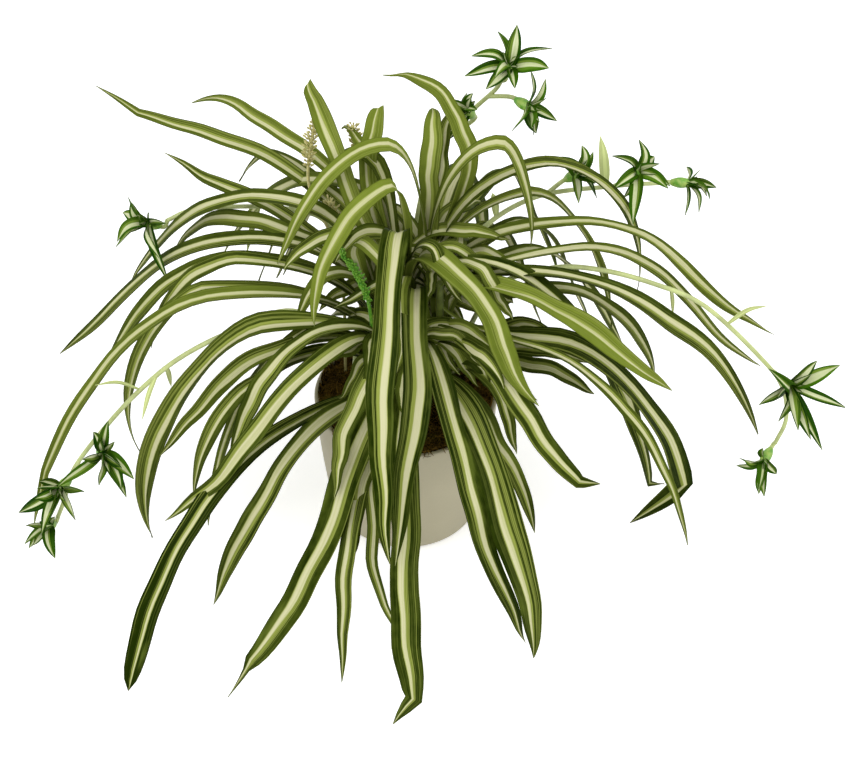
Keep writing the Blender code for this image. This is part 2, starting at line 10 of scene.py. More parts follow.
import bpy
from bpy.props import FloatProperty, FloatVectorProperty, IntProperty, PointerProperty
from mathutils import Matrix, Vector, noise


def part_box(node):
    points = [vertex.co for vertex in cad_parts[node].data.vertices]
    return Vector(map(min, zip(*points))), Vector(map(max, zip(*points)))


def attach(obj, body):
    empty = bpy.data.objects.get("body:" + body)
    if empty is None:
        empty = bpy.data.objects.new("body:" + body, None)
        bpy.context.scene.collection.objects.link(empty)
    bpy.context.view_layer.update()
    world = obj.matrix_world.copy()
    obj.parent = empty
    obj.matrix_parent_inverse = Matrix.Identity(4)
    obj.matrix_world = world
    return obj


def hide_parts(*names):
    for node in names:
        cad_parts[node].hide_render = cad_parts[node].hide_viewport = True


bl_info = {
    "name": "Potted Spider Plant",
    "version": (1, 0, 0),
    "blender": (4, 5, 0),
    "location": "3D View > Sidebar > Spider Plant",
    "description": "Striped leaves, runners, plantlets, moss and pot on a packed frame",
    "category": "Add Mesh",
}

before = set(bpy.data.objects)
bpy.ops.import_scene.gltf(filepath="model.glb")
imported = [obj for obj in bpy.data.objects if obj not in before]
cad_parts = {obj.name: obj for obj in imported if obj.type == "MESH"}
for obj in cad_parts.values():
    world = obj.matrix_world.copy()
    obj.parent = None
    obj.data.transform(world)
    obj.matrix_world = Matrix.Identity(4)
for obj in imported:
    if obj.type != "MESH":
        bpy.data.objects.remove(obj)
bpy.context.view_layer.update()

MM = 0.001
BODY = "root"

# Pot and moss, from the frame
POT_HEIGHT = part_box("pot")[1].z / MM
RIM_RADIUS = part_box("pot")[1].x / MM
SOIL_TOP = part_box("soil")[1].z / MM
FOOT_RADIUS = 42.0
POT_WALL = 3.0
POT_FLOOR = 5.0
LIP_RISE = 1.0
# Height and radius up the pot's outside, from the turn of its foot to its lip.
BELLY = ((6.0, 49.0), (16.0, 51.5), (32.0, 54.0), (54.0, 56.5), (78.0, 58.6),
         (POT_HEIGHT - LIP_RISE, RIM_RADIUS))
MOSS_EDGE = 98.0     # height of the moss at its edge and in its middle
MOSS_MIDDLE = 103.0
MOSS_GAP = 3.6       # from the pot's outside to the edge of the moss
MOSS_LUMP = 1.2      # how high and deep its lumps are
OVERHANG = 0.06      # share of the moss fibres that may hang over the rim

# Leafy stems
STEM_FOOT = 60.0     # bottom of the holes in the soil
HOLE_TOP = 112.0     # clear above the holes in the moss
STEM_RADIUS = 4.0
STEM_TAPER = 0.55    # share of its radius that a stem has left at its top
BLADE_ROOM = 8.0     # from the highest blade's foot to the stem's top
BLADE_BASE = 0.32    # share of its width that a blade has at its foot
# Handles of a blade's curves, as shares of the way between their ends
RISE_OUT = 0.15
RISE_UP = 0.75
CREST_BEFORE = 0.55
CREST_AFTER = 0.45
TIP_BEFORE = 0.4
FACE_TURN = 48.0     # how far a falling blade turns its upper face to the front
YOUNG_LEAVES = 7     # short inner leaves of each leafy stem
WAVES = 3.2          # waves along a blade, and how far they carry its middle line
WAVE_SIZE = 5.0
RIPPLES = 9.0
RIPPLE_SIZE = 1.8
WAVE_SEED = 49       # which waves and ripples the noise gives
FULL_WIDTH_AT = 0.28    # share of its length where a blade is at its full width
STRIPE_WIDTH = (0.17, 0.32)
BRIGHT_NARROWS = 0.35   # how much narrower the stripe of a bright leaf is
YOUNG_OUT = (12, 34)    # how far out and how high over its foot a young leaf's crest is
YOUNG_RISE = (16, 46)
YOUNG_REACH = (14, 46)  # from its crest to its tip, outward and down
YOUNG_DROP = (4, 50)
YOUNG_WIDTH = (8, 12)
YOUNG_FALL = (20, 75)
YOUNG_TONE = (0.05, 0.5)
GAP = 0.3            # under the foot of whatever stands in a hole

# Runners and their plantlets
RUNNER_RADIUS = 1.8
BUD_RADIUS = 4.0
BUD_LENGTH = 13.0
BUD_SOCKET = 8.0     # how far a spur goes into its bud
SPUR_LEAD = 4.0      # how far before the bud a spur already points its way
PLANTLET_WIDTH = (6.5, 10.5)
PLANTLET_REACH = (20.0, 36.0)
PLANTLET_EXTRA = 2      # blades that the frame's plantlets don't have
PLANTLET_UNEVEN = 1.0   # how far a blade may stray from its turn, in turns of one blade
PLANTLET_SPREAD = (12, 95)
PLANTLET_DROOP = (2.0, 11.0)
FLOOR_CLEAR = 1.5
GOLDEN_TURN = math.radians(137.5)
UP = Vector((0, 0, 1))

# Short blades of bracts and plantlets
NARROW_BELLY = 0.35     # share of its length where one is widest
NARROW_THICKNESS = 0.5

# Points along lines and across blades, and sides of round pieces
CURVE_STEPS = 24
SPAN_STEPS = 12
LEAF_ACROSS = 11
NARROW_ACROSS = 7
STEM_STEPS = 12
STEM_SIDES = 14
RUNNER_STEPS = 90
RUNNER_SIDES = 10
SPIKE_STEPS = 60
SPIKE_SIDES = 8
BUD_STEPS = 12
BUD_SIDES = 16
POT_SIDES = 120
WALL_STEPS = 30
FOOT_STEPS = 6
LIP_STEPS = 8
MOSS_SIDES = 96
MOSS_RINGS = 26
STRAND_STEPS = 5
FLORET_POINTS = 240     # fine points along a spike that its florets are set on

# Camera and lights, in metres and degrees
CAMERA_PLACE = (0.011, -1.0970, 1.1306)
CAMERA_TILT = 47
CAMERA_LENS = 97.65
KEY_PLACE = (-0.7, -1.1, 1.9)
FILL_PLACE = (1.4, -0.4, 1.2)
FILL_SHARE = 0.3        # of the key light's power
LIGHTS_AIM = 120        # height in millimetres that the lights face
FLOOR_SIZE = 8.0
FLOOR_DROP = 0.0002

Leaf = namedtuple("Leaf", "heading crest tip width tone bow fall kink blunt lined",
                  defaults=(0, 65, None, 6, None))
Stem = namedtuple("Stem", "x y top lowest leaves")
Runner = namedtuple("Runner", "route bracts")
Plantlet = namedtuple("Plantlet", "at facing off leaves size")
Spike = namedtuple("Spike", "route length")
Finish = namedtuple("Finish", "margin_dark margin_bright stripe line base roughness")

# crest: how far out and how high the blade's highest point is; tip: the same for its end;
# tone: 0 for the darkest green and 1 for the brightest; bow: how far its middle swings to the
# right, seen from the stem; fall: slope at the tip; kink: share of the length where the blade
# folds, its turn sideways, its lift and its spin; blunt: the higher, the later it narrows;
# lined: 1 for fine lines on its right margin, -1 for the left, seen from the stem.
STEMS = {
    "leafy_stem_back_left": Stem(-6, 26, 198, 150, (
        Leaf(148, (175, 231), (238, 222), 10, 0.4, 8, 10, (0.87, 0, 22)),
        Leaf(138, (130, 245), (183, 225), 10, 0.5, 0, 35),
        Leaf(134, (90, 216), (155, 168), 9, 0.3),
        Leaf(143, (20, 236), (150, 122), 14, 0.4),
        Leaf(134, (64, 290), (80, 298), 12, 0.65, -24, -60, (0.95, 0, -115), 16),
        Leaf(126, (50, 262), (60, 258), 11, 0.6),
        Leaf(103, (34, 290), (38, 293), 12, 0.7, -14, -60, (0.95, 0, -110), 14),
        Leaf(128, (60, 200), (165, 60), 12, 0.2),
        Leaf(147, (20, 266), (98, 128), 12, 0.3),
        Leaf(119, (60, 186), (175, 50), 12, 0.2),
    )),
    "leafy_stem_left": Stem(-18, 9, 186, 135, (
        Leaf(145, (140, 213), (170, 217), 10, 0.3, 0, -5),
        Leaf(156, (52, 233), (184, 122), 12, 0.25),
        Leaf(153, (75, 208), (155, 151), 12, 0.35),
        Leaf(163, (58, 206), (232, 64), 13, 0.15, 0, 50),
        Leaf(172, (80, 198), (188, 82), 12, 0.25, 0, 70),
        Leaf(177, (85, 202), (149, 124), 11, 0.2, 0, 80),
        Leaf(190, (100, 190), (238, 8), 11, 0.5, 0, 75, (0.86, 6, 0, -40)),
        Leaf(181, (108, 186), (161, 34), 12, 0.35, 0, 112),
        Leaf(300, (14, 236), (39, 205), 11, 0.6, 16, 85),
    )),
    "leafy_stem_front_left": Stem(-13, -12, 168, 110, (
        Leaf(190, (74, 180), (160, 8), 19, 0.2, 0, 102),
        Leaf(195, (45, 168), (150, 90), 13, 0.25, 0, 50),
        Leaf(191, (38, 176), (122, 10), 9, 0.35, 0, 85),
        Leaf(199, (55, 160), (132, 60), 12, 0.2, 0, 88),
        Leaf(216, (30, 172), (168, 92), 14, 0.2, -4, 15),
        Leaf(205, (45, 180), (110, 94), 13, 0.2, 0, 75),
        Leaf(226, (50, 120), (230, 8), 14, 0.0, 20, 60, blunt=34),
        Leaf(220, (45, 122), (146, 9), 15, 0.15, -6, 70),
    )),
    "leafy_stem_front": Stem(0, -20, 160, 112, (
        Leaf(234, (20, 150), (196, 8), 19, 0.12, -18, 26, (0.88, 22, 8, 60), 6, -1),
        Leaf(256, (28, 124), (155, 8), 11, 0.1, 9, 70),
        Leaf(270, (35, 138), (124, 8), 8, 0.3, 22, 60),
        Leaf(251, (40, 132), (116, 58), 11, 0.2, 0, 60),
        Leaf(273, (34, 142), (188, 8), 19, 0.1, 6, 45, (0.91, -50, 0), 10, -1),
        Leaf(243, (40, 172), (100, 112), 13, 0.15, 0, 60),
    )),
    "leafy_stem_middle": Stem(2, 3, 214, 165, (
        Leaf(267, (20, 246), (163, 106), 17, 0.05, 9, 80, lined=1),
        Leaf(266, (28, 204), (150, 92), 17, 0.08, -9, 75, lined=1),
        Leaf(210, (12, 273), (68, 188), 12, 0.85, 0, 92),
        Leaf(322, (18, 223), (104, 146), 17, 0.65, 0, 42),
    )),
    "leafy_stem_front_right": Stem(14, -14, 172, 120, (
        Leaf(296, (26, 170), (138, 8), 15, 0.05, 18, 78, lined=1),
        Leaf(297, (34, 142), (150, 8), 21, 0.05, 0, 85, lined=-1),
        Leaf(323, (14, 174), (138, 98), 16, 0.15, 0, 15, (0.9, 0, 55), 6, 1),
        Leaf(310, (28, 140), (105, 64), 12, 0.2, 0, 70),
    )),
    "leafy_stem_right": Stem(20, 8, 200, 160, (
        Leaf(354, (22, 208), (147, 10), 16, 0.08, 0, 85, (0.94, 40, 40)),
        Leaf(1, (50, 196), (217, 52), 14, 0.12, 0, 72),
        Leaf(12, (90, 200), (226, 74), 10, 0.3, 0, 40),
        Leaf(10, (66, 172), (150, 76), 12, 0.2, 0, 85),
    )),
    "leafy_stem_right_front": Stem(22, -6, 200, 112, (
        Leaf(350, (8, 203), (150, 132), 15, 0.8, 0, 40),
        Leaf(352, (72, 160), (168, -12), 18, 0.05, 0, 95, (0.8, -17, -54, 82), 8),
        Leaf(340, (62, 166), (174, 24), 8, 0.3, 0, 80),
        Leaf(358, (50, 146), (95, 134), 12, 0.2, 0, 20),
        Leaf(5, (38, 130), (102, 98), 12, 0.2, 0, 45),
        Leaf(20, (48, 146), (82, 128), 11, 0.2, 0, 45),
        Leaf(332, (40, 146), (78, 84), 11, 0.2, 0, 75),
        Leaf(318, (34, 146), (66, 92), 10, 0.2, 0, 80),
    )),
    "leafy_stem_back": Stem(14, 28, 204, 140, (
        Leaf(114, (58, 292), (70, 289), 12, 0.65, 34, 0),
        Leaf(86, (44, 274), (50, 272), 13, 0.6, 0, 20, blunt=12),
        Leaf(74, (56, 264), (62, 260), 13, 0.3, 0, 60),
        Leaf(4, (44, 282), (66, 196), 11, 0.55, 0, 95),
        Leaf(192, (28, 287), (96, 203), 12, 0.8, 0, 70),
        Leaf(18, (76, 250), (148, 124), 10, 0.2, 0, 102),
        Leaf(22, (70, 246), (147, 180), 9, 0.3),
        Leaf(8, (90, 212), (238, 94), 10.5, 0.4, 0, 35),
        Leaf(20, (64, 226), (133, 94), 9, 0.4, 0, 85),
        Leaf(60, (80, 196), (190, 40), 13, 0.2),
        Leaf(78, (75, 192), (205, 30), 14, 0.2),
        Leaf(88, (80, 190), (195, 50), 13, 0.2),
        Leaf(41, (70, 180), (160, 35), 12, 0.2),
        Leaf(52, (56, 176), (140, 30), 12, 0.2),
        Leaf(28, (66, 170), (160, 40), 12, 0.2),
    )),
}

# Runners by the side they reach. Their nodes are called runner_ and plantlet_ with that side.
# route: points of the stalk from its foot in the soil to its end in the last plantlet;
# bracts: share of the route, heading, rise, length and width of each.
RUNNERS = {
    "right_high": Runner(
        ((30, 24), (30, 32, 160), (46, 46, 196), (84, 72, 206), (138, 99, 194), (172, 114, 185)),
        ((0.55, 95, 20, 24, 5), (0.84, 98, 56, 42, 7))),
    "right_low": Runner(
        ((40, 16), (42, 20, 140), (62, 28, 170), (95, 32, 180), (125, 30, 180), (160, 28, 170),
         (195, 26, 152), (236, 20, 110), (251, 16, 88), (255, 12, 64), (249, 7, 47)),
        ((0.6, 60, -70, 24, 3), (0.72, 20, 30, 32, 4))),
    "left_low": Runner(
        ((-34, -4), (-35, -5, 150), (-72, -10, 180), (-113, -16, 166), (-142, -20, 150),
         (-164, -23, 131), (-189, -27, 103), (-217, -34, 65), (-226, -40, 40), (-231, -43, 28)),
        ((0.62, 90, -60, 26, 3.5), (0.68, 195, 35, 34, 3.5), (0.64, 240, -40, 26, 3.5))),
    "left_high": Runner(
        ((-18, 42), (-20, 44, 150), (-50, 68, 186), (-70, 74, 193), (-98, 75, 196),
         (-138, 78, 191), (-156, 73, 186)),
        ((0.75, 250, -30, 28, 4),)),
    "top": Runner(
        ((4, 46), (5, 52, 180), (14, 72, 225), (28, 92, 242), (44, 100, 256), (57, 98, 272),
         (61, 96, 281)),
        ()),
}
# at: the foot of the bud; facing: where its leaves point; off: the share of the runner that
# a spur leaves from; size: of its blades, 1 for the largest.
PLANTLETS = {
    "right_high": (
        Plantlet((104, 84, 211), (0.5, -0.3, 0.6), 0.68, 6, 0.8),
        Plantlet((146, 98, 201), (0.5, -0.3, 0.7), 0.86, 7, 0.85),
        Plantlet((177, 116, 184), (0.9, -0.2, 0.1), 1, 6, 0.7)),
    "right_low": (
        Plantlet((250, 14, 98), (0.15, -0.75, 0.3), 0.84, 8, 1.25),
        Plantlet((246, 5, 43), (-0.4, -0.7, -0.1), 1, 6, 0.7)),
    "left_low": (
        Plantlet((-199, -34, 82), (0.2, -0.6, 0.3), 0.82, 7, 1),
        Plantlet((-219, -46, 66), (-0.3, -0.6, 0.1), 0.88, 8, 0.95),
        Plantlet((-234, -46, 24), (-0.1, -0.5, 0.4), 1, 6, 0.8)),
    "left_high": (
        Plantlet((-161, 71, 183), (-0.5, -0.4, 0.5), 1, 7, 1.0),),
    "top": (
        Plantlet((64, 94, 286), (0.1, -0.3, 0.8), 1, 8, 0.95),
        Plantlet((70, 88, 272), (0.6, -0.6, 0.0), 0.93, 6, 0.8),
        Plantlet((43, 90, 257), (-0.3, -0.5, 0.8), 0.78, 7, 0.6)),
}
SPIKES = {
    "flower_spike_1": Spike(((-26, 28), (-30, 32, 150), (-48, 42, 200), (-61, 49, 236),
                             (-56, 53, 280)), 34),
    "flower_spike_2": Spike(((-4, 52), (-8, 56, 160), (-22, 66, 215), (-29, 70, 240),
                             (-33, 71, 264)), 22),
    "flower_spike_3": Spike(((-40, 22), (-40, 30, 150), (-42, 35, 200), (-48, 37, 230)), 24),
}

# A green spike still in bud, between the leaves.
YOUNG_SPIKE = ((-20, -10, 150), (-23, -8, 185), (-31, -4, 206), (-42, 0, 224))


def vec(x, y, z):
    """A point given in millimetres."""
    return Vector((x * MM, y * MM, z * MM))


def level(angle):
    """The level direction at an angle in radians."""
    return Vector((math.cos(angle), math.sin(angle), 0))


def clockwise(way):
    """A level direction turned a right angle to the right."""
    return Vector((way.y, -way.x, 0))


def smooth(a, b, value):
    """0 up to a, 1 from b on, and a soft step between."""
    t = min(1.0, max(0.0, (value - a) / (b - a)))
    return t * t * (3 - 2 * t)


def bezier(p0, p1, p2, p3, t):
    """A point of a cubic curve."""
    s = 1 - t
    return p0 * s ** 3 + p1 * (3 * s * s * t) + p2 * (3 * s * t * t) + p3 * t ** 3


def evenly(points, count):
    """Points at even spacing along a line of many points."""
    lengths = [0.0]
    for a, b in zip(points, points[1:]):
        lengths.append(lengths[-1] + (b - a).length)
    spaced = []
    j = 0
    for i in range(count):
        want = lengths[-1] * i / (count - 1)
        while j < len(points) - 2 and lengths[j + 1] < want:
            j += 1
        step = lengths[j + 1] - lengths[j]
        spaced.append(points[j].lerp(points[j + 1], (want - lengths[j]) / step))
    return spaced


def catmull(points, count):
    """A smooth line through points, read at even spacing."""
    ends = [2 * points[0] - points[1]] + list(points) + [2 * points[-1] - points[-2]]
    fine = []
    for a, b, c, d in zip(ends, ends[1:], ends[2:], ends[3:]):
        for k in range(SPAN_STEPS):
            t = k / SPAN_STEPS
            fine.append(0.5 * (2 * b + (c - a) * t + (2 * a - 5 * b + 4 * c - d) * t * t
                               + (3 * b - a - 3 * c + d) * t ** 3))
    fine.append(points[-1])
    return evenly(fine, count)


class Shape:
    """Points and faces of one piece, with what its finish reads at each point."""

    def __init__(self):
        self.points = []
        self.faces = []
        self.finish = []
        self.place = []   # across (-1 to 1), along (0 to 1), length in decimetres
        self.look = []    # tone, stripe, seed

    def point(self, p, place, look):
        """Add a point and return its number."""
        self.points.append(p)
        self.place.append(place)
        self.look.append(look)
        return len(self.points) - 1

    def face(self, corners, finish=0):
        """Add a face."""
        self.faces.append(tuple(corners))
        self.finish.append(finish)

    def blade(self, path, rights, width_at, lift_at, thick, look, across, finish=(0, 1)):
        """A closed blade along a path: width_at(t) and lift_at(s, t) in millimetres."""
        rings = []
        last = len(path) - 1
        run = 0.0
        for i, p in enumerate(path):
            t = i / last
            if i:
                run += (p - path[i - 1]).length
            along = (path[min(i + 1, last)] - path[max(i - 1, 0)]).normalized()
            side = (rights[i] - along * rights[i].dot(along)).normalized()
            up = side.cross(along)
            half = width_at(t) / 2 * MM
            top, bottom = [], []
            for k in range(across):
                s = 2 * k / (across - 1) - 1
                middle = p + side * half * s + up * lift_at(s, t) * MM
                body = up * thick / 2 * (1 - 0.5 * s * s) * MM
                place = (s, t, run * 10)
                top.append(self.point(middle + body, place, look))
                bottom.append(self.point(middle - body, place, look))
            rings.append(top + bottom[::-1])
        count = len(rings[0])
        for a, b in zip(rings, rings[1:]):
            for k in range(count):
                n = (k + 1) % count
                self.face((a[k], b[k], b[n], a[n]), finish[across <= k < count - 1])
        for ring, order in ((rings[0], 1), (rings[-1], -1)):
            for k in range(across - 1):
                corners = (ring[k], ring[k + 1], ring[count - 2 - k], ring[count - 1 - k])
                self.face(corners[::order], finish[0])

    def bands(self, rings, finish=0):
        """Faces between rings of points; a ring may be one point over and over."""
        for a, b in zip(rings, rings[1:]):
            for k in range(len(a)):
                n = (k + 1) % len(a)
                self.face(dict.fromkeys((a[k], a[n], b[n], b[k])), finish)

    def tube(self, points, radii, sides, look, finish=0):
        """A closed round stalk along points, with its radius at each in millimetres."""
        rings = []
        last = len(points) - 1
        first = (points[1] - points[0]).normalized()
        side = Vector((1, 0, 0)) if abs(first.x) < 0.9 else Vector((0, 1, 0))
        run = 0.0
        for i, p in enumerate(points):
            if i:
                run += (p - points[i - 1]).length
            along = (points[min(i + 1, last)] - points[max(i - 1, 0)]).normalized()
            side = (side - along * side.dot(along)).normalized()
            other = along.cross(side)
            ring = []
            for k in range(sides):
                a = 2 * math.pi * k / sides
                out = (side * math.cos(a) + other * math.sin(a)) * radii[i] * MM
                place = (abs(2 * k / sides - 1), i / last, run * 10)
                ring.append(self.point(p + out, place, look))
            rings.append(ring)
        self.bands(rings, finish)
        self.face(rings[0][::-1], finish)
        self.face(rings[-1], finish)

    def turned(self, profile, sides, place=None, look=(0.5, 0.3, 0.0), finish=0):
        """Spin a profile of radius and height about an axis, from its foot round to its end."""
        place = place or Matrix.Identity(4)
        rings = []
        for j, (r, z) in enumerate(profile):
            share = j / (len(profile) - 1)
            if r == 0:
                rings.append([self.point(place @ vec(0, 0, z), (0, share, z * 0.01), look)] * sides)
                continue
            rings.append([self.point(place @ vec(r * math.cos(a), r * math.sin(a), z),
                                     (abs(a / math.pi - 1), share, z * 0.01), look)
                          for a in (2 * math.pi * k / sides for k in range(sides))])
        self.bands(rings, finish)

    def piece(self, name, finishes, sharp=45, replaces=()):
        """Make the object, dress it and let it ride on the plant's body."""
        data = bpy.data.meshes.new(name)
        data.from_pydata(self.points, [], self.faces)
        data.polygons.foreach_set("material_index", self.finish)
        for title, values in (("place", self.place), ("look", self.look)):
            layer = data.attributes.new(title, "FLOAT_VECTOR", "POINT")
            layer.data.foreach_set("vector", [x for value in values for x in value])
        data.shade_smooth()
        data.set_sharp_from_angle(angle=math.radians(sharp))
        for finish in finishes:
            data.materials.append(finish)
        item = bpy.data.objects.new(name, data)
        bpy.context.scene.collection.objects.link(item)
        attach(item, BODY)
        if replaces:
            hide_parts(*replaces)


class Wires:
    """Adds nodes to a tree and joins them."""

    def __init__(self, tree):
        self.tree = tree

    def feed(self, socket, value):
        """Link a socket, or set its value."""
        if isinstance(value, bpy.types.NodeSocket):
            self.tree.links.new(value, socket)
        elif hasattr(value, "__len__") and len(value) == 3 and len(socket.default_value) == 4:
            socket.default_value = (*value, 1)
        else:
            socket.default_value = value

    def add(self, kind, inputs=(), **settings):
        """Add a node with its settings and inputs."""
        made = self.tree.nodes.new("ShaderNode" + kind)
        for key, value in settings.items():
            setattr(made, key, value)
        for key, value in dict(inputs).items():
            self.feed(made.inputs[key], value)
        return made

    def math(self, operation, a, b=0.0, clamp=False):
        """A value worked out from one or two others."""
        return self.add("Math", {0: a, 1: b}, operation=operation, use_clamp=clamp).outputs[0]

    def times(self, a, b):
        """The product of two values."""
        return self.math("MULTIPLY", a, b)

    def plus(self, a, b, clamp=False):
        """The sum of two values."""
        return self.math("ADD", a, b, clamp)

    def minus(self, a, b):
        """The first value less the second."""
        return self.math("SUBTRACT", a, b)

    def step(self, value, low, high, start=0.0, end=1.0):
        """A soft step from start to end as a value goes from low to high."""
        return self.add("MapRange", {"Value": value, "From Min": low, "From Max": high,
                                     "To Min": start, "To Max": end},
                        interpolation_type="SMOOTHSTEP").outputs["Result"]

    def mix(self, share, a, b):
        """A colour between two others."""
        return self.add("Mix", {0: share, 6: a, 7: b}, data_type="RGBA").outputs[2]

    def vector(self, x=0.0, y=0.0, z=0.0):
        """A vector of three values."""
        return self.add("CombineXYZ", {0: x, 1: y, 2: z}).outputs[0]

    def grain(self, vector, scale=1.0, detail=2.0):
        """Noise from 0 to 1."""
        return self.add("TexNoise", {"Vector": vector, "Scale": scale,
                                     "Detail": detail}).outputs["Fac"]

    def read(self, title):
        """The three numbers that a piece carries at each point."""
        source = self.add("Attribute", attribute_name=title, attribute_type="GEOMETRY")
        return self.add("SeparateXYZ", {0: source.outputs["Vector"]}).outputs

    def where(self):
        """The place of a point on its piece."""
        return self.add("TexCoord").outputs["Object"]

    def raise_by(self, shader, height, strength, depth):
        """Give a shader relief from a height, its depth in metres."""
        relief = self.add("Bump", {"Strength": strength, "Distance": depth, "Height": height})
        self.feed(shader["Normal"], relief.outputs["Normal"])


def group(name, inputs, outputs):
    """An empty node group, its wires and its end nodes."""
    tree = bpy.data.node_groups.new(name, "ShaderNodeTree")
    for way, sockets in (("INPUT", inputs), ("OUTPUT", outputs)):
        for title, kind in sockets.items():
            tree.interface.new_socket(name=title, in_out=way, socket_type="NodeSocket" + kind)
    start = tree.nodes.new("NodeGroupInput").outputs
    end = tree.nodes.new("NodeGroupOutput").inputs
    return tree, Wires(tree), start, end


def stripes_group():
    """Pale stripe, thin light lines and veined green margins of a variegated blade."""
    name = "Variegated stripes"
    if name in bpy.data.node_groups:
        return bpy.data.node_groups[name]
    tree, w, start, end = group(
        name,
        {"Across": "Float", "Along": "Float", "Length": "Float", "Tone": "Float",
         "Stripe": "Float", "Seed": "Float", "Margin dark": "Color", "Margin bright": "Color",
         "Stripe colour": "Color", "Line colour": "Color", "Base colour": "Color"},
        {"Color": "Color", "Veins": "Float", "Wear": "Float"})
    across, length, seed = start["Across"], start["Length"], start["Seed"]
    # The stripe lies a little to one side, drifts along the blade and narrows to its tip.
    way = w.minus(w.times(w.math("GREATER_THAN", seed, 0.5), 2.0), 1.0)
    along = w.vector(w.times(length, 1.1), w.times(seed, 37.0))
    drift = w.times(w.minus(w.grain(along), 0.5), 0.7)
    place = w.plus(w.times(across, way), w.plus(drift, 0.15))
    along = w.vector(w.times(length, 1.3), w.times(seed, 61.0))
    swell = w.step(w.grain(along), 0.3, 0.7, 0.75, 1.3)
    narrow = w.times(w.step(start["Along"], 0.6, 1.0, 1.0, 0.4), swell)
    past = w.minus(w.math("ABSOLUTE", place), w.times(start["Stripe"], narrow))
    pale = w.step(past, -0.04, 0.06, 1.0, 0.0)
    # One margin has a band of light lines beside the stripe, and finer lines further out.
    lined = w.step(place, -0.05, 0.05)
    band = w.plus(w.times(lined, w.times(start["Stripe"], 0.9)), 0.07)
    beside = w.step(w.minus(past, band), -0.03, 0.03, 1.0, 0.0)
    fibres = w.grain(w.vector(w.times(across, 9.0), w.times(length, 0.3), w.times(seed, 53.0)),
                     detail=4.0)
    streak = w.times(w.step(fibres, 0.5, 0.62), w.plus(w.times(lined, 0.55), 0.15))
    # The green is blotched along the blade and flecked, and darker in its veins and edges.
    blotch = w.grain(w.vector(across, w.times(length, 2.4), w.times(seed, 19.0)), detail=3.0)
    fleck = w.grain(w.vector(w.times(across, 3.0), w.times(length, 14.0), w.times(seed, 29.0)),
                    detail=3.0)
    uneven = w.plus(w.times(blotch, 0.55), w.times(fleck, 0.3))
    tone = w.plus(start["Tone"], w.minus(uneven, 0.42), clamp=True)
    margin = w.mix(tone, start["Margin dark"], start["Margin bright"])
    lighter = w.math("MAXIMUM", w.times(beside, 0.85), streak)
    margin = w.mix(lighter, margin, start["Line colour"])
    veins = w.plus(w.times(w.math("SINE", w.times(across, 60.0)), 0.5), 0.5)
    dark = w.times(w.times(veins, w.step(fibres, 0.4, 0.6)), w.plus(w.times(lined, 0.4), 0.1))
    margin = w.mix(dark, margin, w.mix(0.4, start["Margin dark"], (0.0, 0.0, 0.0)))
    edge = w.step(w.math("ABSOLUTE", across), 0.86, 1.0)
    margin = w.mix(w.times(edge, 0.4), margin, start["Margin dark"])
    # Painted sheen: pale patches, mixed toward the foot's pale green on the margin without lines,
    # stand in for the soft sheen of the leaves.
    painted_sheen = w.times(w.step(blotch, 0.54, 0.7), w.minus(1.0, lined))
    margin = w.mix(w.times(painted_sheen, 0.4), margin, start["Base colour"])
    hazy = w.plus(w.times(w.step(fibres, 0.42, 0.62), 0.3),
                  w.times(w.step(start["Tone"], 0.3, 0.9), 0.18))
    cream = w.mix(hazy, start["Stripe colour"], start["Line colour"])
    body = w.mix(pale, margin, cream)
    body = w.mix(w.step(start["Along"], 0.0, 0.16, 0.7, 0.0), body, start["Base colour"])
    w.feed(end["Color"], body)
    w.feed(end["Veins"], w.plus(w.times(veins, 0.5), w.times(fibres, 1.5)))
    w.feed(end["Wear"], blotch)
    return tree


def mottle_group():
    """Soft patches of two colours with a fine grain over them."""
    name = "Mottle"
    if name in bpy.data.node_groups:
        return bpy.data.node_groups[name]
    tree, w, start, end = group(
        name,
        {"Vector": "Vector", "Patch size": "Float", "Grain size": "Float", "First": "Color",
         "Second": "Color"},
        {"Color": "Color", "Patches": "Float", "Grain": "Float"})
    patches = w.grain(start["Vector"], w.math("DIVIDE", 1.0, start["Patch size"]), 3.0)
    fine = w.grain(start["Vector"], w.math("DIVIDE", 1.0, start["Grain size"]))
    share = w.step(w.plus(w.times(patches, 0.75), w.times(fine, 0.25)), 0.35, 0.65)
    w.feed(end["Color"], w.mix(share, start["First"], start["Second"]))
    w.feed(end["Patches"], patches)
    w.feed(end["Grain"], fine)
    return tree


def material(name):
    """A new material, its wires and its shader."""
    made = bpy.data.materials.new(name)
    made.use_nodes = True
    return made, Wires(made.node_tree), made.node_tree.nodes["Principled BSDF"].inputs


def blade_material(name, finish, bump=0.35):
    """Finish of a variegated blade, from what the blade carries at each point."""
    if name in bpy.data.materials:
        return bpy.data.materials[name]
    made, w, shader = material(name)
    across, along, length = w.read("place")
    tone, stripe, seed = w.read("look")
    leaf = w.add("Group", {
        "Across": across, "Along": along, "Length": length, "Tone": tone, "Stripe": stripe,
        "Seed": seed, "Margin dark": finish.margin_dark, "Margin bright": finish.margin_bright,
        "Stripe colour": finish.stripe, "Line colour": finish.line, "Base colour": finish.base},
        node_tree=stripes_group()).outputs
    w.feed(shader["Base Color"], leaf["Color"])
    shader["Specular IOR Level"].default_value = 0.02
    w.feed(shader["Roughness"], w.step(leaf["Wear"], 0.3, 0.7, finish.roughness - 0.06,
                                       finish.roughness + 0.08))
    w.raise_by(shader, leaf["Veins"], bump, 0.0004)
    return made


def mottle(w, patch, grain, first, second):
    """What the mottle group puts out, for sizes in millimetres."""
    return w.add("Group", {"Vector": w.where(), "Patch size": patch * MM,
                           "Grain size": grain * MM, "First": first, "Second": second},
                 node_tree=mottle_group()).outputs


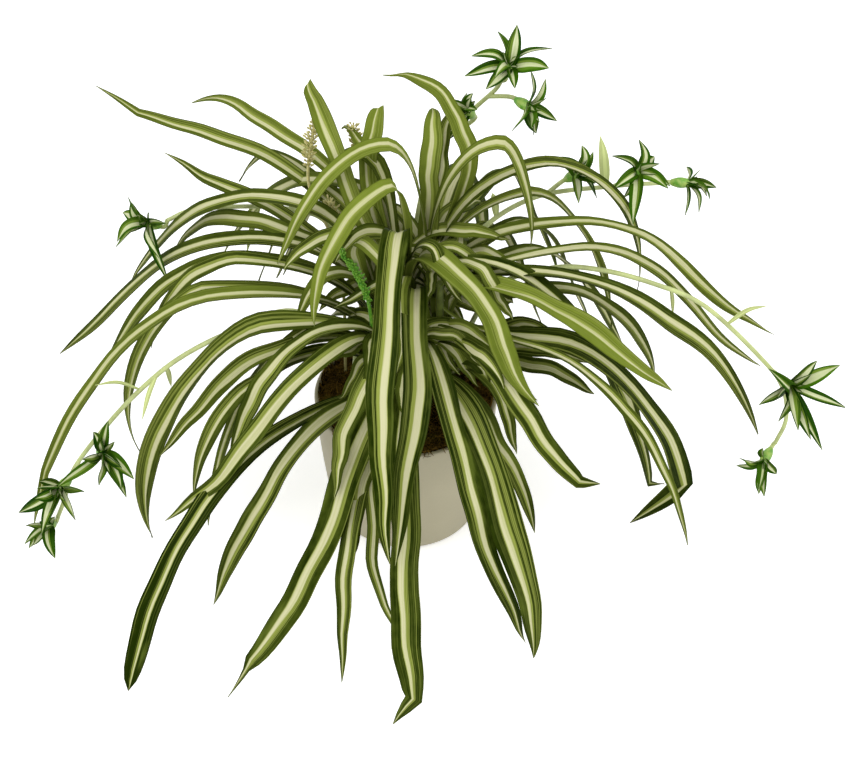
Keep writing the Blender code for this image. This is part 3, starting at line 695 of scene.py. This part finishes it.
def mottled_material(name, first, second, patch, grain, roughness, bump, depth=0.0003):
    """Finish of a plain surface with soft patches and a fine grain, sizes in millimetres."""
    if name in bpy.data.materials:
        return bpy.data.materials[name]
    made, w, shader = material(name)
    spots = mottle(w, patch, grain, first, second)
    w.feed(shader["Base Color"], spots["Color"])
    w.feed(shader["Roughness"], w.step(spots["Patches"], 0.3, 0.7, roughness - 0.05,
                                       roughness + 0.05))
    w.raise_by(shader, spots["Grain"], bump, depth)
    return made


def moss_material(dark, brown, olive):
    """Moss and dry fibres: dark brown with olive tufts."""
    made, w, shader = material("moss_finish")
    tone, _, _ = w.read("look")
    spots = mottle(w, 9, 1.2, dark, brown)
    tufts = w.step(w.grain(w.where(), 60.0), 0.5, 0.68)
    colour = w.mix(w.times(tufts, 0.7), spots["Color"], olive)
    w.feed(shader["Base Color"], w.mix(w.step(tone, 0.5, 1.0), colour, brown))
    shader["Roughness"].default_value = 0.95
    shader["Specular IOR Level"].default_value = 0.05
    w.raise_by(shader, spots["Grain"], 0.8, 0.002)
    return made


def blade_line(leaf, foot, count):
    """Centre line of a blade that climbs from its foot to its crest and falls to its tip, and
    the direction of its right edge at each point."""
    away = level(math.radians(leaf.heading))
    right = clockwise(away)
    out, high = leaf.crest
    far, low = leaf.tip
    start = Vector((0, foot.z / MM))
    crest = Vector((out, high))
    tip = Vector((far, low))
    rise = (start, Vector((RISE_OUT * out, start.y + RISE_UP * (high - start.y))),
            Vector((CREST_BEFORE * out, high)), crest)
    slope = math.radians(leaf.fall)
    chord = (tip - crest).length
    drop = (crest, Vector((out + CREST_AFTER * (far - out), high)),
            tip - TIP_BEFORE * chord * Vector((math.cos(slope), -math.sin(slope))), tip)
    fine = [bezier(*rise, i / CURVE_STEPS) for i in range(CURVE_STEPS)]
    fine += [bezier(*drop, i / CURVE_STEPS) for i in range(CURVE_STEPS + 1)]
    path, rights = [], []
    for i, p in enumerate(evenly([p.to_3d() for p in fine], count)):
        t = i / (count - 1)
        swing = leaf.bow * 4 * t * (1 - t)
        path.append(Vector((foot.x, foot.y, 0)) + (away * p.x + right * swing) * MM
                    + Vector((0, 0, p.y * MM)))
        rights.append(right)
    # Each blade reads the noise at a place of its own.
    shift = Vector((leaf.heading * 0.37, leaf.tip[0] * 0.11, 0))
    for i, p in enumerate(path):
        t = i / (count - 1)
        sway = noise.noise_vector(shift + Vector((0, 0, t * WAVES))) * WAVE_SIZE
        sway += noise.noise_vector(shift + Vector((5, 0, t * RIPPLES))) * RIPPLE_SIZE
        sway *= smooth(0.15, 0.6, t)
        path[i] = p + (right * sway.x + Vector((0, 0, 0.7 * sway.z))) * MM
    if leaf.kink:
        fold(path, rights, *leaf.kink)
    return path, rights


def fold(path, rights, share, turn, lift, spin=0):
    """Fold the end of a blade sideways and up, and spin it, at one share of its length."""
    k = round(share * (len(path) - 1))
    along = (path[k] - path[k - 1]).normalized()
    side = (rights[k] - along * rights[k].dot(along)).normalized()
    swing = (Matrix.Rotation(math.radians(turn), 3, side.cross(along))
             @ Matrix.Rotation(math.radians(lift), 3, side)
             @ Matrix.Rotation(math.radians(spin), 3, along))
    for i in range(k + 1, len(path)):
        path[i] = path[k] + swing @ (path[i] - path[k])
        rights[i] = swing @ rights[i]


def blade_foot(stem, leaf):
    """Where a blade grows from its stem: low ones hang, high ones stand up."""
    heights = sorted(other.crest[1] for other in stem.leaves)
    share = heights.index(leaf.crest[1]) / max(1, len(heights) - 1)
    return vec(stem.x, stem.y, stem.lowest + (stem.top - BLADE_ROOM - stem.lowest) * share)


def add_leaf(shape, leaf, foot, draw, plant):
    """One strap leaf: a folded foot, a flat waved middle and a pointed tip."""
    path, rights = blade_line(leaf, foot, plant.leaf_steps)
    last = len(path) - 1
    phase = draw.uniform(0, 6.28)
    sway = draw.uniform(0.7, 1.3)
    face_turn = FACE_TURN * math.cos(math.radians(leaf.heading))
    rolled = []
    for i, right in enumerate(rights):
        t = i / last
        along = (path[min(i + 1, last)] - path[max(i - 1, 0)]).normalized()
        side = (right - along * right.dot(along)).normalized()
        wobble = 7 * math.sin(9 * t * sway + phase) * smooth(0.1, 0.4, t)
        angle = face_turn * smooth(0.3, 0.85, t) + wobble
        rolled.append(Matrix.Rotation(math.radians(angle), 3, along) @ side)
    folded = draw.uniform(0.2, 0.34)
    flat = draw.uniform(0.08, 0.22)
    wave = draw.uniform(0.3, 0.9)
    beat = draw.uniform(10, 18)

    def width_at(t):
        base = BLADE_BASE + (1 - BLADE_BASE) * smooth(0.0, FULL_WIDTH_AT, t)
        return max(0.3, leaf.width * base * (1 - t ** leaf.blunt)
                   * (1 + 0.07 * math.sin(beat * t + phase)))

    def lift_at(s, t):
        width = width_at(t)
        channel = folded + (flat - folded) * smooth(0.05, 0.55, t)
        ripple = wave * s * s * math.sin(beat * t + phase + (1.6 if s > 0 else 0))
        return width * (channel * abs(s) ** 1.15 - 0.06 * s * s) + ripple * smooth(0.1, 0.3, t)

    seed = draw.random()
    if leaf.lined:
        seed = (seed + max(0, leaf.lined)) / 2
    stripe = draw.uniform(*STRIPE_WIDTH) * smooth(-0.15, 0.12, leaf.tone)
    stripe *= 1 - BRIGHT_NARROWS * smooth(0.5, 0.7, leaf.tone)
    look = (leaf.tone, stripe, seed)
    shape.blade(path, rolled, width_at, lift_at, plant.leaf_thickness / MM, look,
                LEAF_ACROSS)


def young_leaves(stem, draw):
    """Short leaves in the heart of a stem, turned on from each other by the golden angle."""
    leaves = []
    for k in range(YOUNG_LEAVES):
        heading = math.degrees(GOLDEN_TURN) * k + draw.uniform(-20, 20)
        foot = stem.lowest + (stem.top - stem.lowest) * draw.uniform(0.0, 0.8)
        out = draw.uniform(*YOUNG_OUT)
        high = foot + draw.uniform(*YOUNG_RISE)
        far = out + draw.uniform(*YOUNG_REACH)
        low = max(POT_HEIGHT + 12, high - draw.uniform(*YOUNG_DROP))
        width = draw.uniform(*YOUNG_WIDTH)
        fall = draw.uniform(*YOUNG_FALL)
        leaf = Leaf(heading, (out, high), (far, low), width, draw.uniform(*YOUNG_TONE), 0, fall)
        leaves.append((leaf, vec(stem.x, stem.y, foot)))
    return leaves


def route_line(route, count):
    """A smooth line along a route, upright from the bottom of its hole to above the moss."""
    x, y = route[0]
    points = [vec(x, y, STEM_FOOT + GAP), vec(x, y, HOLE_TOP)] + [vec(*p) for p in route[1:]]
    return catmull(points, count)


def narrow_blade(shape, path, right, width, look, fold_depth=0.2, finish=(0, 1)):
    """A short pointed blade, widest at a third of its length."""
    def width_at(t):
        grow = smooth(-NARROW_BELLY, NARROW_BELLY, t)
        past = max(0.0, (t - NARROW_BELLY) / (1 - NARROW_BELLY))
        return max(0.25, width * grow * (1 - past ** 2.2))

    def lift_at(s, t):
        return width_at(t) * fold_depth * abs(s) ** 1.2 * (1 - 0.5 * t)

    shape.blade(path, [right] * len(path), width_at, lift_at, NARROW_THICKNESS, look,
                NARROW_ACROSS, finish)


def pot_profile():
    """Outline of the pot's wall, up its outside, over its lip and down its inside."""
    rise = [vec(r, 0, z) for z, r in BELLY]
    side = [(p.x / MM, p.z / MM) for p in catmull(rise, WALL_STEPS)]
    start_r, start_z = side[0]
    foot = []
    for k in range(FOOT_STEPS + 1):
        a = math.pi / 2 * k / FOOT_STEPS
        foot.append((FOOT_RADIUS + (start_r - FOOT_RADIUS) * math.sin(a),
                     start_z * (1 - math.cos(a))))
    lip = []
    for k in range(1, LIP_STEPS):
        a = math.pi * k / LIP_STEPS
        lip.append((RIM_RADIUS - POT_WALL / 2 + (POT_WALL / 2) * math.cos(a),
                    POT_HEIGHT - LIP_RISE + LIP_RISE * math.sin(a)))
    inside = [(r - POT_WALL, z) for r, z in reversed(side)]
    return [(0, 0)] + foot + side[1:] + lip + inside + [(FOOT_RADIUS, POT_FLOOR), (0, POT_FLOOR)]


def wall_radius(z):
    """Radius of the pot's outside at a height."""
    for (low, a), (high, b) in zip(BELLY, BELLY[1:]):
        if z <= high:
            return a + (b - a) * (z - low) / (high - low)
    return BELLY[-1][1]


def moss_height(r, turn, edge):
    """Top of the moss: a low dome with soft lumps that flatten towards its rim."""
    share = r / edge
    lumps = (math.sin(5 * turn + 9 * share) + math.sin(8 * turn - 14 * share + 1.3)
             + math.sin(21 * share + 3 * turn))
    bumps = noise.noise(Vector((r * math.cos(turn), r * math.sin(turn), 0)) * 0.22)
    bumps += 0.5 * noise.noise(Vector((r * math.cos(turn), r * math.sin(turn), 7)) * 0.6)
    return (MOSS_MIDDLE + (MOSS_EDGE - MOSS_MIDDLE) * share ** 2
            + MOSS_LUMP * lumps / 3 * share + 2.2 * bumps)


def colour_setting(name, description, default):
    """A setting that holds a colour."""
    return FloatVectorProperty(name=name, description=description, subtype="COLOR",
                               default=default, min=0, max=1)


class SpiderPlantSettings(bpy.types.PropertyGroup):
    """Sizes and colours that change how the plant looks."""

    leaf_thickness: FloatProperty(
        name="Leaf Thickness", description="Thickness of a leaf at its middle",
        default=0.0006, min=0.0002, max=0.002, unit="LENGTH")
    leaf_steps: IntProperty(
        name="Leaf Steps", description="Points along each leaf", default=38, min=8, max=80)
    margin_dark: colour_setting(
        "Dark Margin", "Darkest green of a leaf's margins", (0.011, 0.022, 0.0))
    margin_bright: colour_setting(
        "Bright Margin", "Brightest green of a leaf's margins", (0.185, 0.24, 0.028))
    stripe_colour: colour_setting("Stripe", "Cream of the middle stripe", (0.57, 0.56, 0.33))
    line_colour: colour_setting(
        "Lines", "Light green of the thin lines beside the stripe", (0.3, 0.35, 0.07))
    base_colour: colour_setting("Leaf Base", "Pale green of a leaf's foot", (0.13, 0.17, 0.025))
    runner_colour: colour_setting("Runner", "Yellow green of the runners", (0.56, 0.63, 0.26))
    plantlet_dark: colour_setting(
        "Plantlet Margin", "Dark green of the plantlets' margins", (0.005, 0.04, 0.0))
    flower_colour: colour_setting(
        "Flowers", "Straw colour of the flower spikes", (0.6, 0.55, 0.22))
    pot_colour: colour_setting("Pot", "Colour of the pot", (0.52, 0.475, 0.325))
    moss_brown: colour_setting("Moss", "Brown of the dry moss", (0.19, 0.11, 0.018))
    moss_strands: IntProperty(
        name="Moss Strands", description="How many loose fibres lie on the moss",
        default=2400, min=0, max=5000)
    key_power: FloatProperty(
        name="Key Light", description="Power of the main studio light", default=26.0, min=0.0,
        subtype="POWER", unit="POWER")
    sky_strength: FloatProperty(
        name="Room Light", description="Strength of the even light of the room", default=0.75,
        min=0.0, subtype="FACTOR")


class SPIDER_PLANT_OT_pot(bpy.types.Operator):
    """Make the smooth satin pot and finish the soil in it"""
    bl_idname = "spider_plant.pot"
    bl_label = "Pot and Soil"

    def execute(self, context):
        plant = context.scene.spider_plant
        shape = Shape()
        shape.turned(pot_profile(), POT_SIDES)
        first = Vector(plant.pot_colour)
        glaze = mottled_material("pot_finish", first, first * 0.94, 40, 1.5, 0.38, 0.06)
        shape.piece("pot_body", [glaze], sharp=60, replaces=("pot",))
        earth = mottled_material("soil_finish", (0.03, 0.02, 0.012), (0.012, 0.008, 0.005), 6, 1,
                                 0.95, 0.8, 0.001)
        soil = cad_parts["soil"].data
        soil.materials.clear()
        soil.materials.append(earth)
        return {"FINISHED"}


class SPIDER_PLANT_OT_moss(bpy.types.Operator):
    """Make the lumpy mat of moss with loose fibres over it"""
    bl_idname = "spider_plant.moss"
    bl_label = "Moss"

    def execute(self, context):
        plant = context.scene.spider_plant
        draw = random.Random(21)
        shape = Shape()
        edge = wall_radius(MOSS_EDGE) - MOSS_GAP
        rows = [self.ring(shape, edge, lambda a: SOIL_TOP + GAP)]
        for k in range(MOSS_RINGS, 0, -1):
            r = edge * k / MOSS_RINGS
            rows.append(self.ring(shape, r, lambda a: moss_height(r, a, edge)))
        top = self.spot(shape, 0, 0, moss_height(0, 0, edge))
        shape.bands(rows + [[top] * MOSS_SIDES])
        shape.face(rows[0][::-1])
        for _ in range(plant.moss_strands):
            self.strand(shape, draw, edge)
        finish = moss_material((0.03, 0.018, 0.003), plant.moss_brown, (0.12, 0.1, 0.01))
        shape.piece("moss_mat", [finish], sharp=80, replaces=("moss",))
        return {"FINISHED"}

    def spot(self, shape, x, y, z):
        """A point of the mat."""
        return shape.point(vec(x, y, z), (0, 0, 0), (0.2, 0, 0))

    def ring(self, shape, r, height_at):
        """A ring of the mat's points, with its height at each angle."""
        angles = [2 * math.pi * k / MOSS_SIDES for k in range(MOSS_SIDES)]
        return [self.spot(shape, r * math.cos(a), r * math.sin(a), height_at(a)) for a in angles]

    def strand(self, shape, draw, edge):
        """A fine curled fibre that lies on the moss and may hang over the rim."""
        r = edge * math.sqrt(draw.uniform(0.02, 1.0))
        a = draw.uniform(0, 2 * math.pi)
        way = a + draw.gauss(0, 1.2)
        bend = draw.uniform(-0.5, 0.5)
        size = draw.uniform(6, 16)
        lift = draw.uniform(0.5, 2.6)
        front = max(0.0, -math.sin(a)) ** 2
        limit = RIM_RADIUS + 1.2 if draw.random() < OVERHANG * (1 + 5 * front) else edge + 1.0
        points = []
        x, y = r * math.cos(a), r * math.sin(a)
        for k in range(STRAND_STEPS + 1):
            t = k / STRAND_STEPS
            out = math.hypot(x, y)
            ground = moss_height(min(out, edge), math.atan2(y, x), edge)
            if out > edge:
                ground = max(POT_HEIGHT + 0.4, ground) - max(0.0, out - RIM_RADIUS + 0.6) * 1.2
            points.append(vec(x, y, ground + 0.1 + lift * math.sin(math.pi * (0.1 + 0.85 * t))))
            x += math.cos(way) * size / STRAND_STEPS
            y += math.sin(way) * size / STRAND_STEPS
            way += bend
            if math.hypot(x, y) > limit:
                x, y = x * limit / math.hypot(x, y), y * limit / math.hypot(x, y)
                way += 1.0
        radius = draw.uniform(0.16, 0.4)
        shape.tube(points, [radius] * STRAND_STEPS + [radius * 0.4], 3,
                   (draw.random(), 0, draw.random()))


class SPIDER_PLANT_OT_leaves(bpy.types.Operator):
    """Make the striped leaves of the nine leafy stems"""
    bl_idname = "spider_plant.leaves"
    bl_label = "Leaves"

    def execute(self, context):
        noise.seed_set(WAVE_SEED)
        plant = context.scene.spider_plant
        top = blade_material("leaf_top", Finish(
            plant.margin_dark, plant.margin_bright, plant.stripe_colour, plant.line_colour,
            plant.base_colour, 0.42))
        under = blade_material("leaf_underside", Finish(
            Vector(plant.margin_dark) * 1.4, Vector(plant.margin_bright) * 0.9,
            Vector(plant.stripe_colour) * 0.85, plant.line_colour, plant.base_colour, 0.55), 0.2)
        stalk = mottled_material("leafy_stalk", plant.base_colour,
                                 Vector(plant.base_colour) * 0.6, 6, 0.8, 0.5, 0.3)
        for name, stem in STEMS.items():
            draw = random.Random(name)
            shape = Shape()
            for leaf in stem.leaves:
                add_leaf(shape, leaf, blade_foot(stem, leaf), draw, plant)
            for leaf, foot in young_leaves(stem, draw):
                add_leaf(shape, leaf, foot, draw, plant)
            foot = STEM_FOOT + GAP
            shares = [k / STEM_STEPS for k in range(STEM_STEPS + 1)]
            points = [vec(stem.x, stem.y, foot + (stem.top - foot) * t) for t in shares]
            radii = [STEM_RADIUS * (1 - (1 - STEM_TAPER) * t) for t in shares]
            shape.tube(points, radii, STEM_SIDES, (0.5, 0.3, 0.0), finish=2)
            shape.piece(name + "_leaves", [top, under, stalk], replaces=(name,))
        return {"FINISHED"}


class SPIDER_PLANT_OT_runners(bpy.types.Operator):
    """Make the runners with their bracts and the spurs of their plantlets"""
    bl_idname = "spider_plant.runners"
    bl_label = "Runners"

    def execute(self, context):
        plant = context.scene.spider_plant
        first = Vector(plant.runner_colour)
        skin = mottled_material("runner_skin", first, first * 0.72, 14, 0.7, 0.45, 0.2)
        bract = blade_material("bract_finish", Finish(
            first * 0.8, first, first * 1.15, first * 0.9, first * 0.8, 0.5), 0.2)
        last = RUNNER_STEPS - 1
        for side, runner in RUNNERS.items():
            shape = Shape()
            line = route_line(runner.route, RUNNER_STEPS)
            radii = [RUNNER_RADIUS * (1.05 - 0.25 * i / last) for i in range(RUNNER_STEPS)]
            shape.tube(line, radii, RUNNER_SIDES, (0.5, 0.3, 0.1))
            for share, *rest in runner.bracts:
                self.bract(shape, line[round(share * last)], *rest)
            for plantlet in PLANTLETS[side]:
                start = line[round(plantlet.off * last)]
                facing = Vector(plantlet.facing).normalized()
                foot = vec(*plantlet.at)
                inside = foot + facing * (BUD_SOCKET - 1) * MM
                way = catmull([start, foot - facing * SPUR_LEAD * MM, inside], 12)
                shape.tube(way, [RUNNER_RADIUS * 0.85] * 12, RUNNER_SIDES, (0.5, 0.3, 0.1))
            shape.piece("runner_" + side + "_stalk", [skin, bract],
                        replaces=("runner_" + side,))
        return {"FINISHED"}

    def bract(self, shape, start, heading, rise, length, width):
        """A long pale pointed scale at a joint of the runner."""
        climb = math.radians(rise)
        away = level(math.radians(heading))
        right = clockwise(away)
        away *= math.cos(climb)
        away.z = math.sin(climb)
        ends = [start, start + away * length * 0.5 * MM,
                start + (away - UP * 0.25) * length * MM]
        narrow_blade(shape, catmull(ends, 14), right, width, (0.5, 0.3, 0.2), finish=(1, 1))


class SPIDER_PLANT_OT_plantlets(bpy.types.Operator):
    """Make the tufts of short striped leaves at the runners' ends"""
    bl_idname = "spider_plant.plantlets"
    bl_label = "Plantlets"

    def execute(self, context):
        plant = context.scene.spider_plant
        dark = Vector(plant.plantlet_dark)
        top = blade_material("plantlet_top", Finish(
            dark, (0.045, 0.135, 0.002), (0.66, 0.69, 0.43), (0.2, 0.3, 0.04),
            (0.18, 0.32, 0.03), 0.35))
        under = blade_material("plantlet_underside", Finish(
            dark * 1.8, (0.06, 0.14, 0.006), (0.5, 0.54, 0.3), (0.18, 0.28, 0.05),
            (0.18, 0.3, 0.04), 0.5))
        bud = mottled_material("plantlet_bud", (0.12, 0.36, 0.03), (0.35, 0.5, 0.1), 4, 0.6,
                               0.42, 0.2)
        for side, plantlets in PLANTLETS.items():
            for k, plantlet in enumerate(plantlets, 1):
                # A runner's only plantlet has no number.
                number = "_%d" % k if len(plantlets) > 1 else ""
                self.tuft("plantlet_" + side + number, plantlet, [top, under, bud])
        return {"FINISHED"}

    def tuft(self, name, plantlet, finishes):
        """A bud and the blades round its end."""
        draw = random.Random(name)
        shape = Shape()
        facing = Vector(plantlet.facing).normalized()
        turn = facing.to_track_quat("Z", "Y").to_matrix().to_4x4()
        place = Matrix.Translation(vec(*plantlet.at)) @ turn
        profile = []
        for k in range(BUD_STEPS + 1):
            share = k / BUD_STEPS
            swell = 0.42 + 0.5 * math.sin(math.pi * (0.05 + 0.85 * share))
            profile.append((BUD_RADIUS * swell, BUD_LENGTH * share))
        shape.turned([(0, 0)] + profile + [(0, BUD_LENGTH)], BUD_SIDES, place, finish=2)
        count = plantlet.leaves + PLANTLET_EXTRA
        for k in range(count):
            self.blade(shape, draw, place, k, count, plantlet.size)
        for k in range(4):
            around = GOLDEN_TURN * k
            lean = math.radians(18 + 9 * k)
            out = level(around)
            way = out * math.sin(lean) + UP * math.cos(lean)
            root = UP * (BUD_LENGTH - 3)
            size = (12 + 2 * k) * plantlet.size
            points = [place @ (p * MM) for p in
                      (root, root + way * size * 0.5, root + way * size)]
            right = place.to_3x3() @ clockwise(out)
            narrow_blade(shape, catmull(points, 9), right, 4.5,
                         (draw.uniform(0.2, 0.8), 0.4, draw.random()))
        shape.piece(name + "_tuft", finishes, replaces=(name,))

    def blade(self, shape, draw, place, k, count, size):
        """One pointed blade of a tuft, clear of the floor."""
        turn = 2 * math.pi * (k + draw.uniform(-PLANTLET_UNEVEN, PLANTLET_UNEVEN)) / count
        lean = math.radians(draw.uniform(*PLANTLET_SPREAD))
        length = draw.uniform(*PLANTLET_REACH) * size
        bend = draw.uniform(-0.15, 0.3)
        out = level(turn)
        root = UP * (BUD_SOCKET + 2.0)
        way = out * math.sin(lean) + UP * math.cos(lean)
        points = [root, root + (way + UP * 0.12) * length * 0.5,
                  root + (way + out * bend - UP * bend * 0.6) * length * 0.95]
        droop = Vector((0, 0, draw.uniform(*PLANTLET_DROOP))) * size * MM
        curl = Vector((draw.uniform(-6, 6), draw.uniform(-6, 6), 0)) * size * MM
        path = [place @ (p * MM) + (curl - droop) * (i / 15) ** 2
                for i, p in enumerate(catmull(points, 16))]
        path = [Vector((p.x, p.y, max(p.z, FLOOR_CLEAR * MM))) for p in path]
        roll = Matrix.Rotation(math.radians(draw.uniform(-50, 50)), 3, way)
        right = place.to_3x3() @ roll @ clockwise(out)
        narrow_blade(shape, path, right, draw.uniform(*PLANTLET_WIDTH) * size ** 0.5,
                     (draw.uniform(0.0, 0.9), draw.uniform(0.15, 0.42), draw.random()),
                     fold_depth=draw.uniform(0.15, 0.45))


class SPIDER_PLANT_OT_flowers(bpy.types.Operator):
    """Make the flower spikes with their dense small florets"""
    bl_idname = "spider_plant.flowers"
    bl_label = "Flower Spikes"

    def execute(self, context):
        plant = context.scene.spider_plant
        straw = Vector(plant.flower_colour)
        finish = mottled_material("flower_straw", straw, straw * 0.72, 3, 0.6, 0.6, 0.3)
        for name, spike in SPIKES.items():
            shape = Shape()
            shape.tube(route_line(spike.route, SPIKE_STEPS), [1.0] * SPIKE_STEPS, SPIKE_SIDES,
                       (0.5, 0.3, 0.1))
            self.florets(shape, random.Random(name), route_line(spike.route, FLORET_POINTS),
                         spike.length, 7.0, 2.6)
            shape.piece(name + "_head", [finish], replaces=(name,))
        green = mottled_material("flower_green", (0.1, 0.36, 0.02), (0.25, 0.5, 0.05), 3, 0.6,
                                 0.5, 0.3)
        shape = Shape()
        line = catmull([vec(*p) for p in YOUNG_SPIKE], FLORET_POINTS)
        shape.tube(line[::FLORET_POINTS // SPIKE_STEPS], [1.2] * SPIKE_STEPS, SPIKE_SIDES,
                   (0.5, 0.3, 0.1))
        self.florets(shape, random.Random(5), line, 44, 5.0, 3.6)
        shape.piece("young_spike_head", [green])
        return {"FINISHED"}

    def florets(self, shape, draw, fine, length, reach, density):
        """Small buds on thin stalks round the last stretch of a line."""
        count = round(length * density)
        for k in range(count):
            share = k / count
            want = length * (1 - share) * MM
            middle = next(p for p in reversed(fine)
                          if (p - fine[-1]).length >= want or p is fine[0])
            around = k * GOLDEN_TURN
            out = Vector((math.cos(around), math.sin(around), 0.9)).normalized()
            far = reach * (0.5 + 0.5 * math.sin(math.pi * (0.15 + 0.7 * share)))
            far *= draw.uniform(0.6, 1.1)
            points = [middle + out * far * MM * t for t in (0, 0.45, 0.8, 1)]
            shape.tube(points, [0.25, 0.25, 0.75, 0.3], 5, (draw.random(), 0.3, 0.0))


class SPIDER_PLANT_OT_stage(bpy.types.Operator):
    """Make the pale floor, the soft studio light and the camera"""
    bl_idname = "spider_plant.stage"
    bl_label = "Stage"

    def execute(self, context):
        plant = context.scene.spider_plant
        scene = context.scene
        data = bpy.data.meshes.new("floor")
        corners = ((-1, -1), (1, -1), (1, 1), (-1, 1))
        data.from_pydata([(x * FLOOR_SIZE, y * FLOOR_SIZE, 0) for x, y in corners], [],
                         [(0, 1, 2, 3)])
        paper, w, shader = material("floor_paper")
        soft = w.grain(w.where(), 3.0)
        w.feed(shader["Base Color"], w.mix(soft, (0.93, 0.93, 0.93), (0.96, 0.96, 0.96)))
        shader["Roughness"].default_value = 0.9
        shader["Specular IOR Level"].default_value = 0.1
        shader["Emission Color"].default_value = (1, 1, 1, 1)
        seen = w.add("LightPath").outputs["Is Camera Ray"]
        w.feed(shader["Emission Strength"], w.times(seen, 0.45))
        data.materials.append(paper)
        floor = bpy.data.objects.new("floor", data)
        floor.location.z = -FLOOR_DROP
        scene.collection.objects.link(floor)
        self.light("key_light", KEY_PLACE, plant.key_power, 1.6)
        self.light("fill_light", FILL_PLACE, plant.key_power * FILL_SHARE, 1.2)
        world = bpy.data.worlds.new("studio")
        world.use_nodes = True
        sky = world.node_tree.nodes["Background"].inputs
        sky["Color"].default_value = (1, 1, 1, 1)
        sky["Strength"].default_value = plant.sky_strength
        scene.world = world
        scene.view_settings.view_transform = "Standard"
        lens = bpy.data.cameras.new("camera")
        lens.sensor_width = 36
        lens.lens = CAMERA_LENS
        camera = bpy.data.objects.new("camera", lens)
        camera.location = CAMERA_PLACE
        camera.rotation_euler = (math.radians(CAMERA_TILT), 0, 0)
        scene.collection.objects.link(camera)
        scene.camera = camera
        return {"FINISHED"}

    def light(self, name, place, power, size):
        """A square soft light that faces the plant."""
        lamp = bpy.data.lights.new(name, "AREA")
        lamp.energy = power
        lamp.size = size
        item = bpy.data.objects.new(name, lamp)
        item.location = place
        aim = vec(0, 0, LIGHTS_AIM) - item.location
        item.rotation_euler = aim.to_track_quat("-Z", "Y").to_euler()
        bpy.context.scene.collection.objects.link(item)


OPERATORS = (SPIDER_PLANT_OT_pot, SPIDER_PLANT_OT_moss, SPIDER_PLANT_OT_leaves,
             SPIDER_PLANT_OT_runners, SPIDER_PLANT_OT_plantlets, SPIDER_PLANT_OT_flowers,
             SPIDER_PLANT_OT_stage)


class SPIDER_PLANT_PT_panel(bpy.types.Panel):
    """Lists the plant's settings and the pieces that can be made"""
    bl_idname = "SPIDER_PLANT_PT_panel"
    bl_label = "Spider Plant"
    bl_space_type = "VIEW_3D"
    bl_region_type = "UI"
    bl_category = "Spider Plant"

    def draw(self, context):
        for setting in SpiderPlantSettings.__annotations__:
            self.layout.prop(context.scene.spider_plant, setting)
        for operator in OPERATORS:
            self.layout.operator(operator.bl_idname)


CLASSES = (SpiderPlantSettings, *OPERATORS, SPIDER_PLANT_PT_panel)


def register():
    """Register the classes and the plant's settings."""
    for item in CLASSES:
        bpy.utils.register_class(item)
    bpy.types.Scene.spider_plant = PointerProperty(type=SpiderPlantSettings)


def unregister():
    """Take the settings and classes away again."""
    del bpy.types.Scene.spider_plant
    for item in reversed(CLASSES):
        bpy.utils.unregister_class(item)


def main():
    """Make the whole plant."""
    register()
    bpy.ops.spider_plant.pot()
    bpy.ops.spider_plant.moss()
    bpy.ops.spider_plant.leaves()
    bpy.ops.spider_plant.runners()
    bpy.ops.spider_plant.plantlets()
    bpy.ops.spider_plant.flowers()
    bpy.ops.spider_plant.stage()
    bpy.context.view_layer.update()


if __name__ == "__main__":
    main()
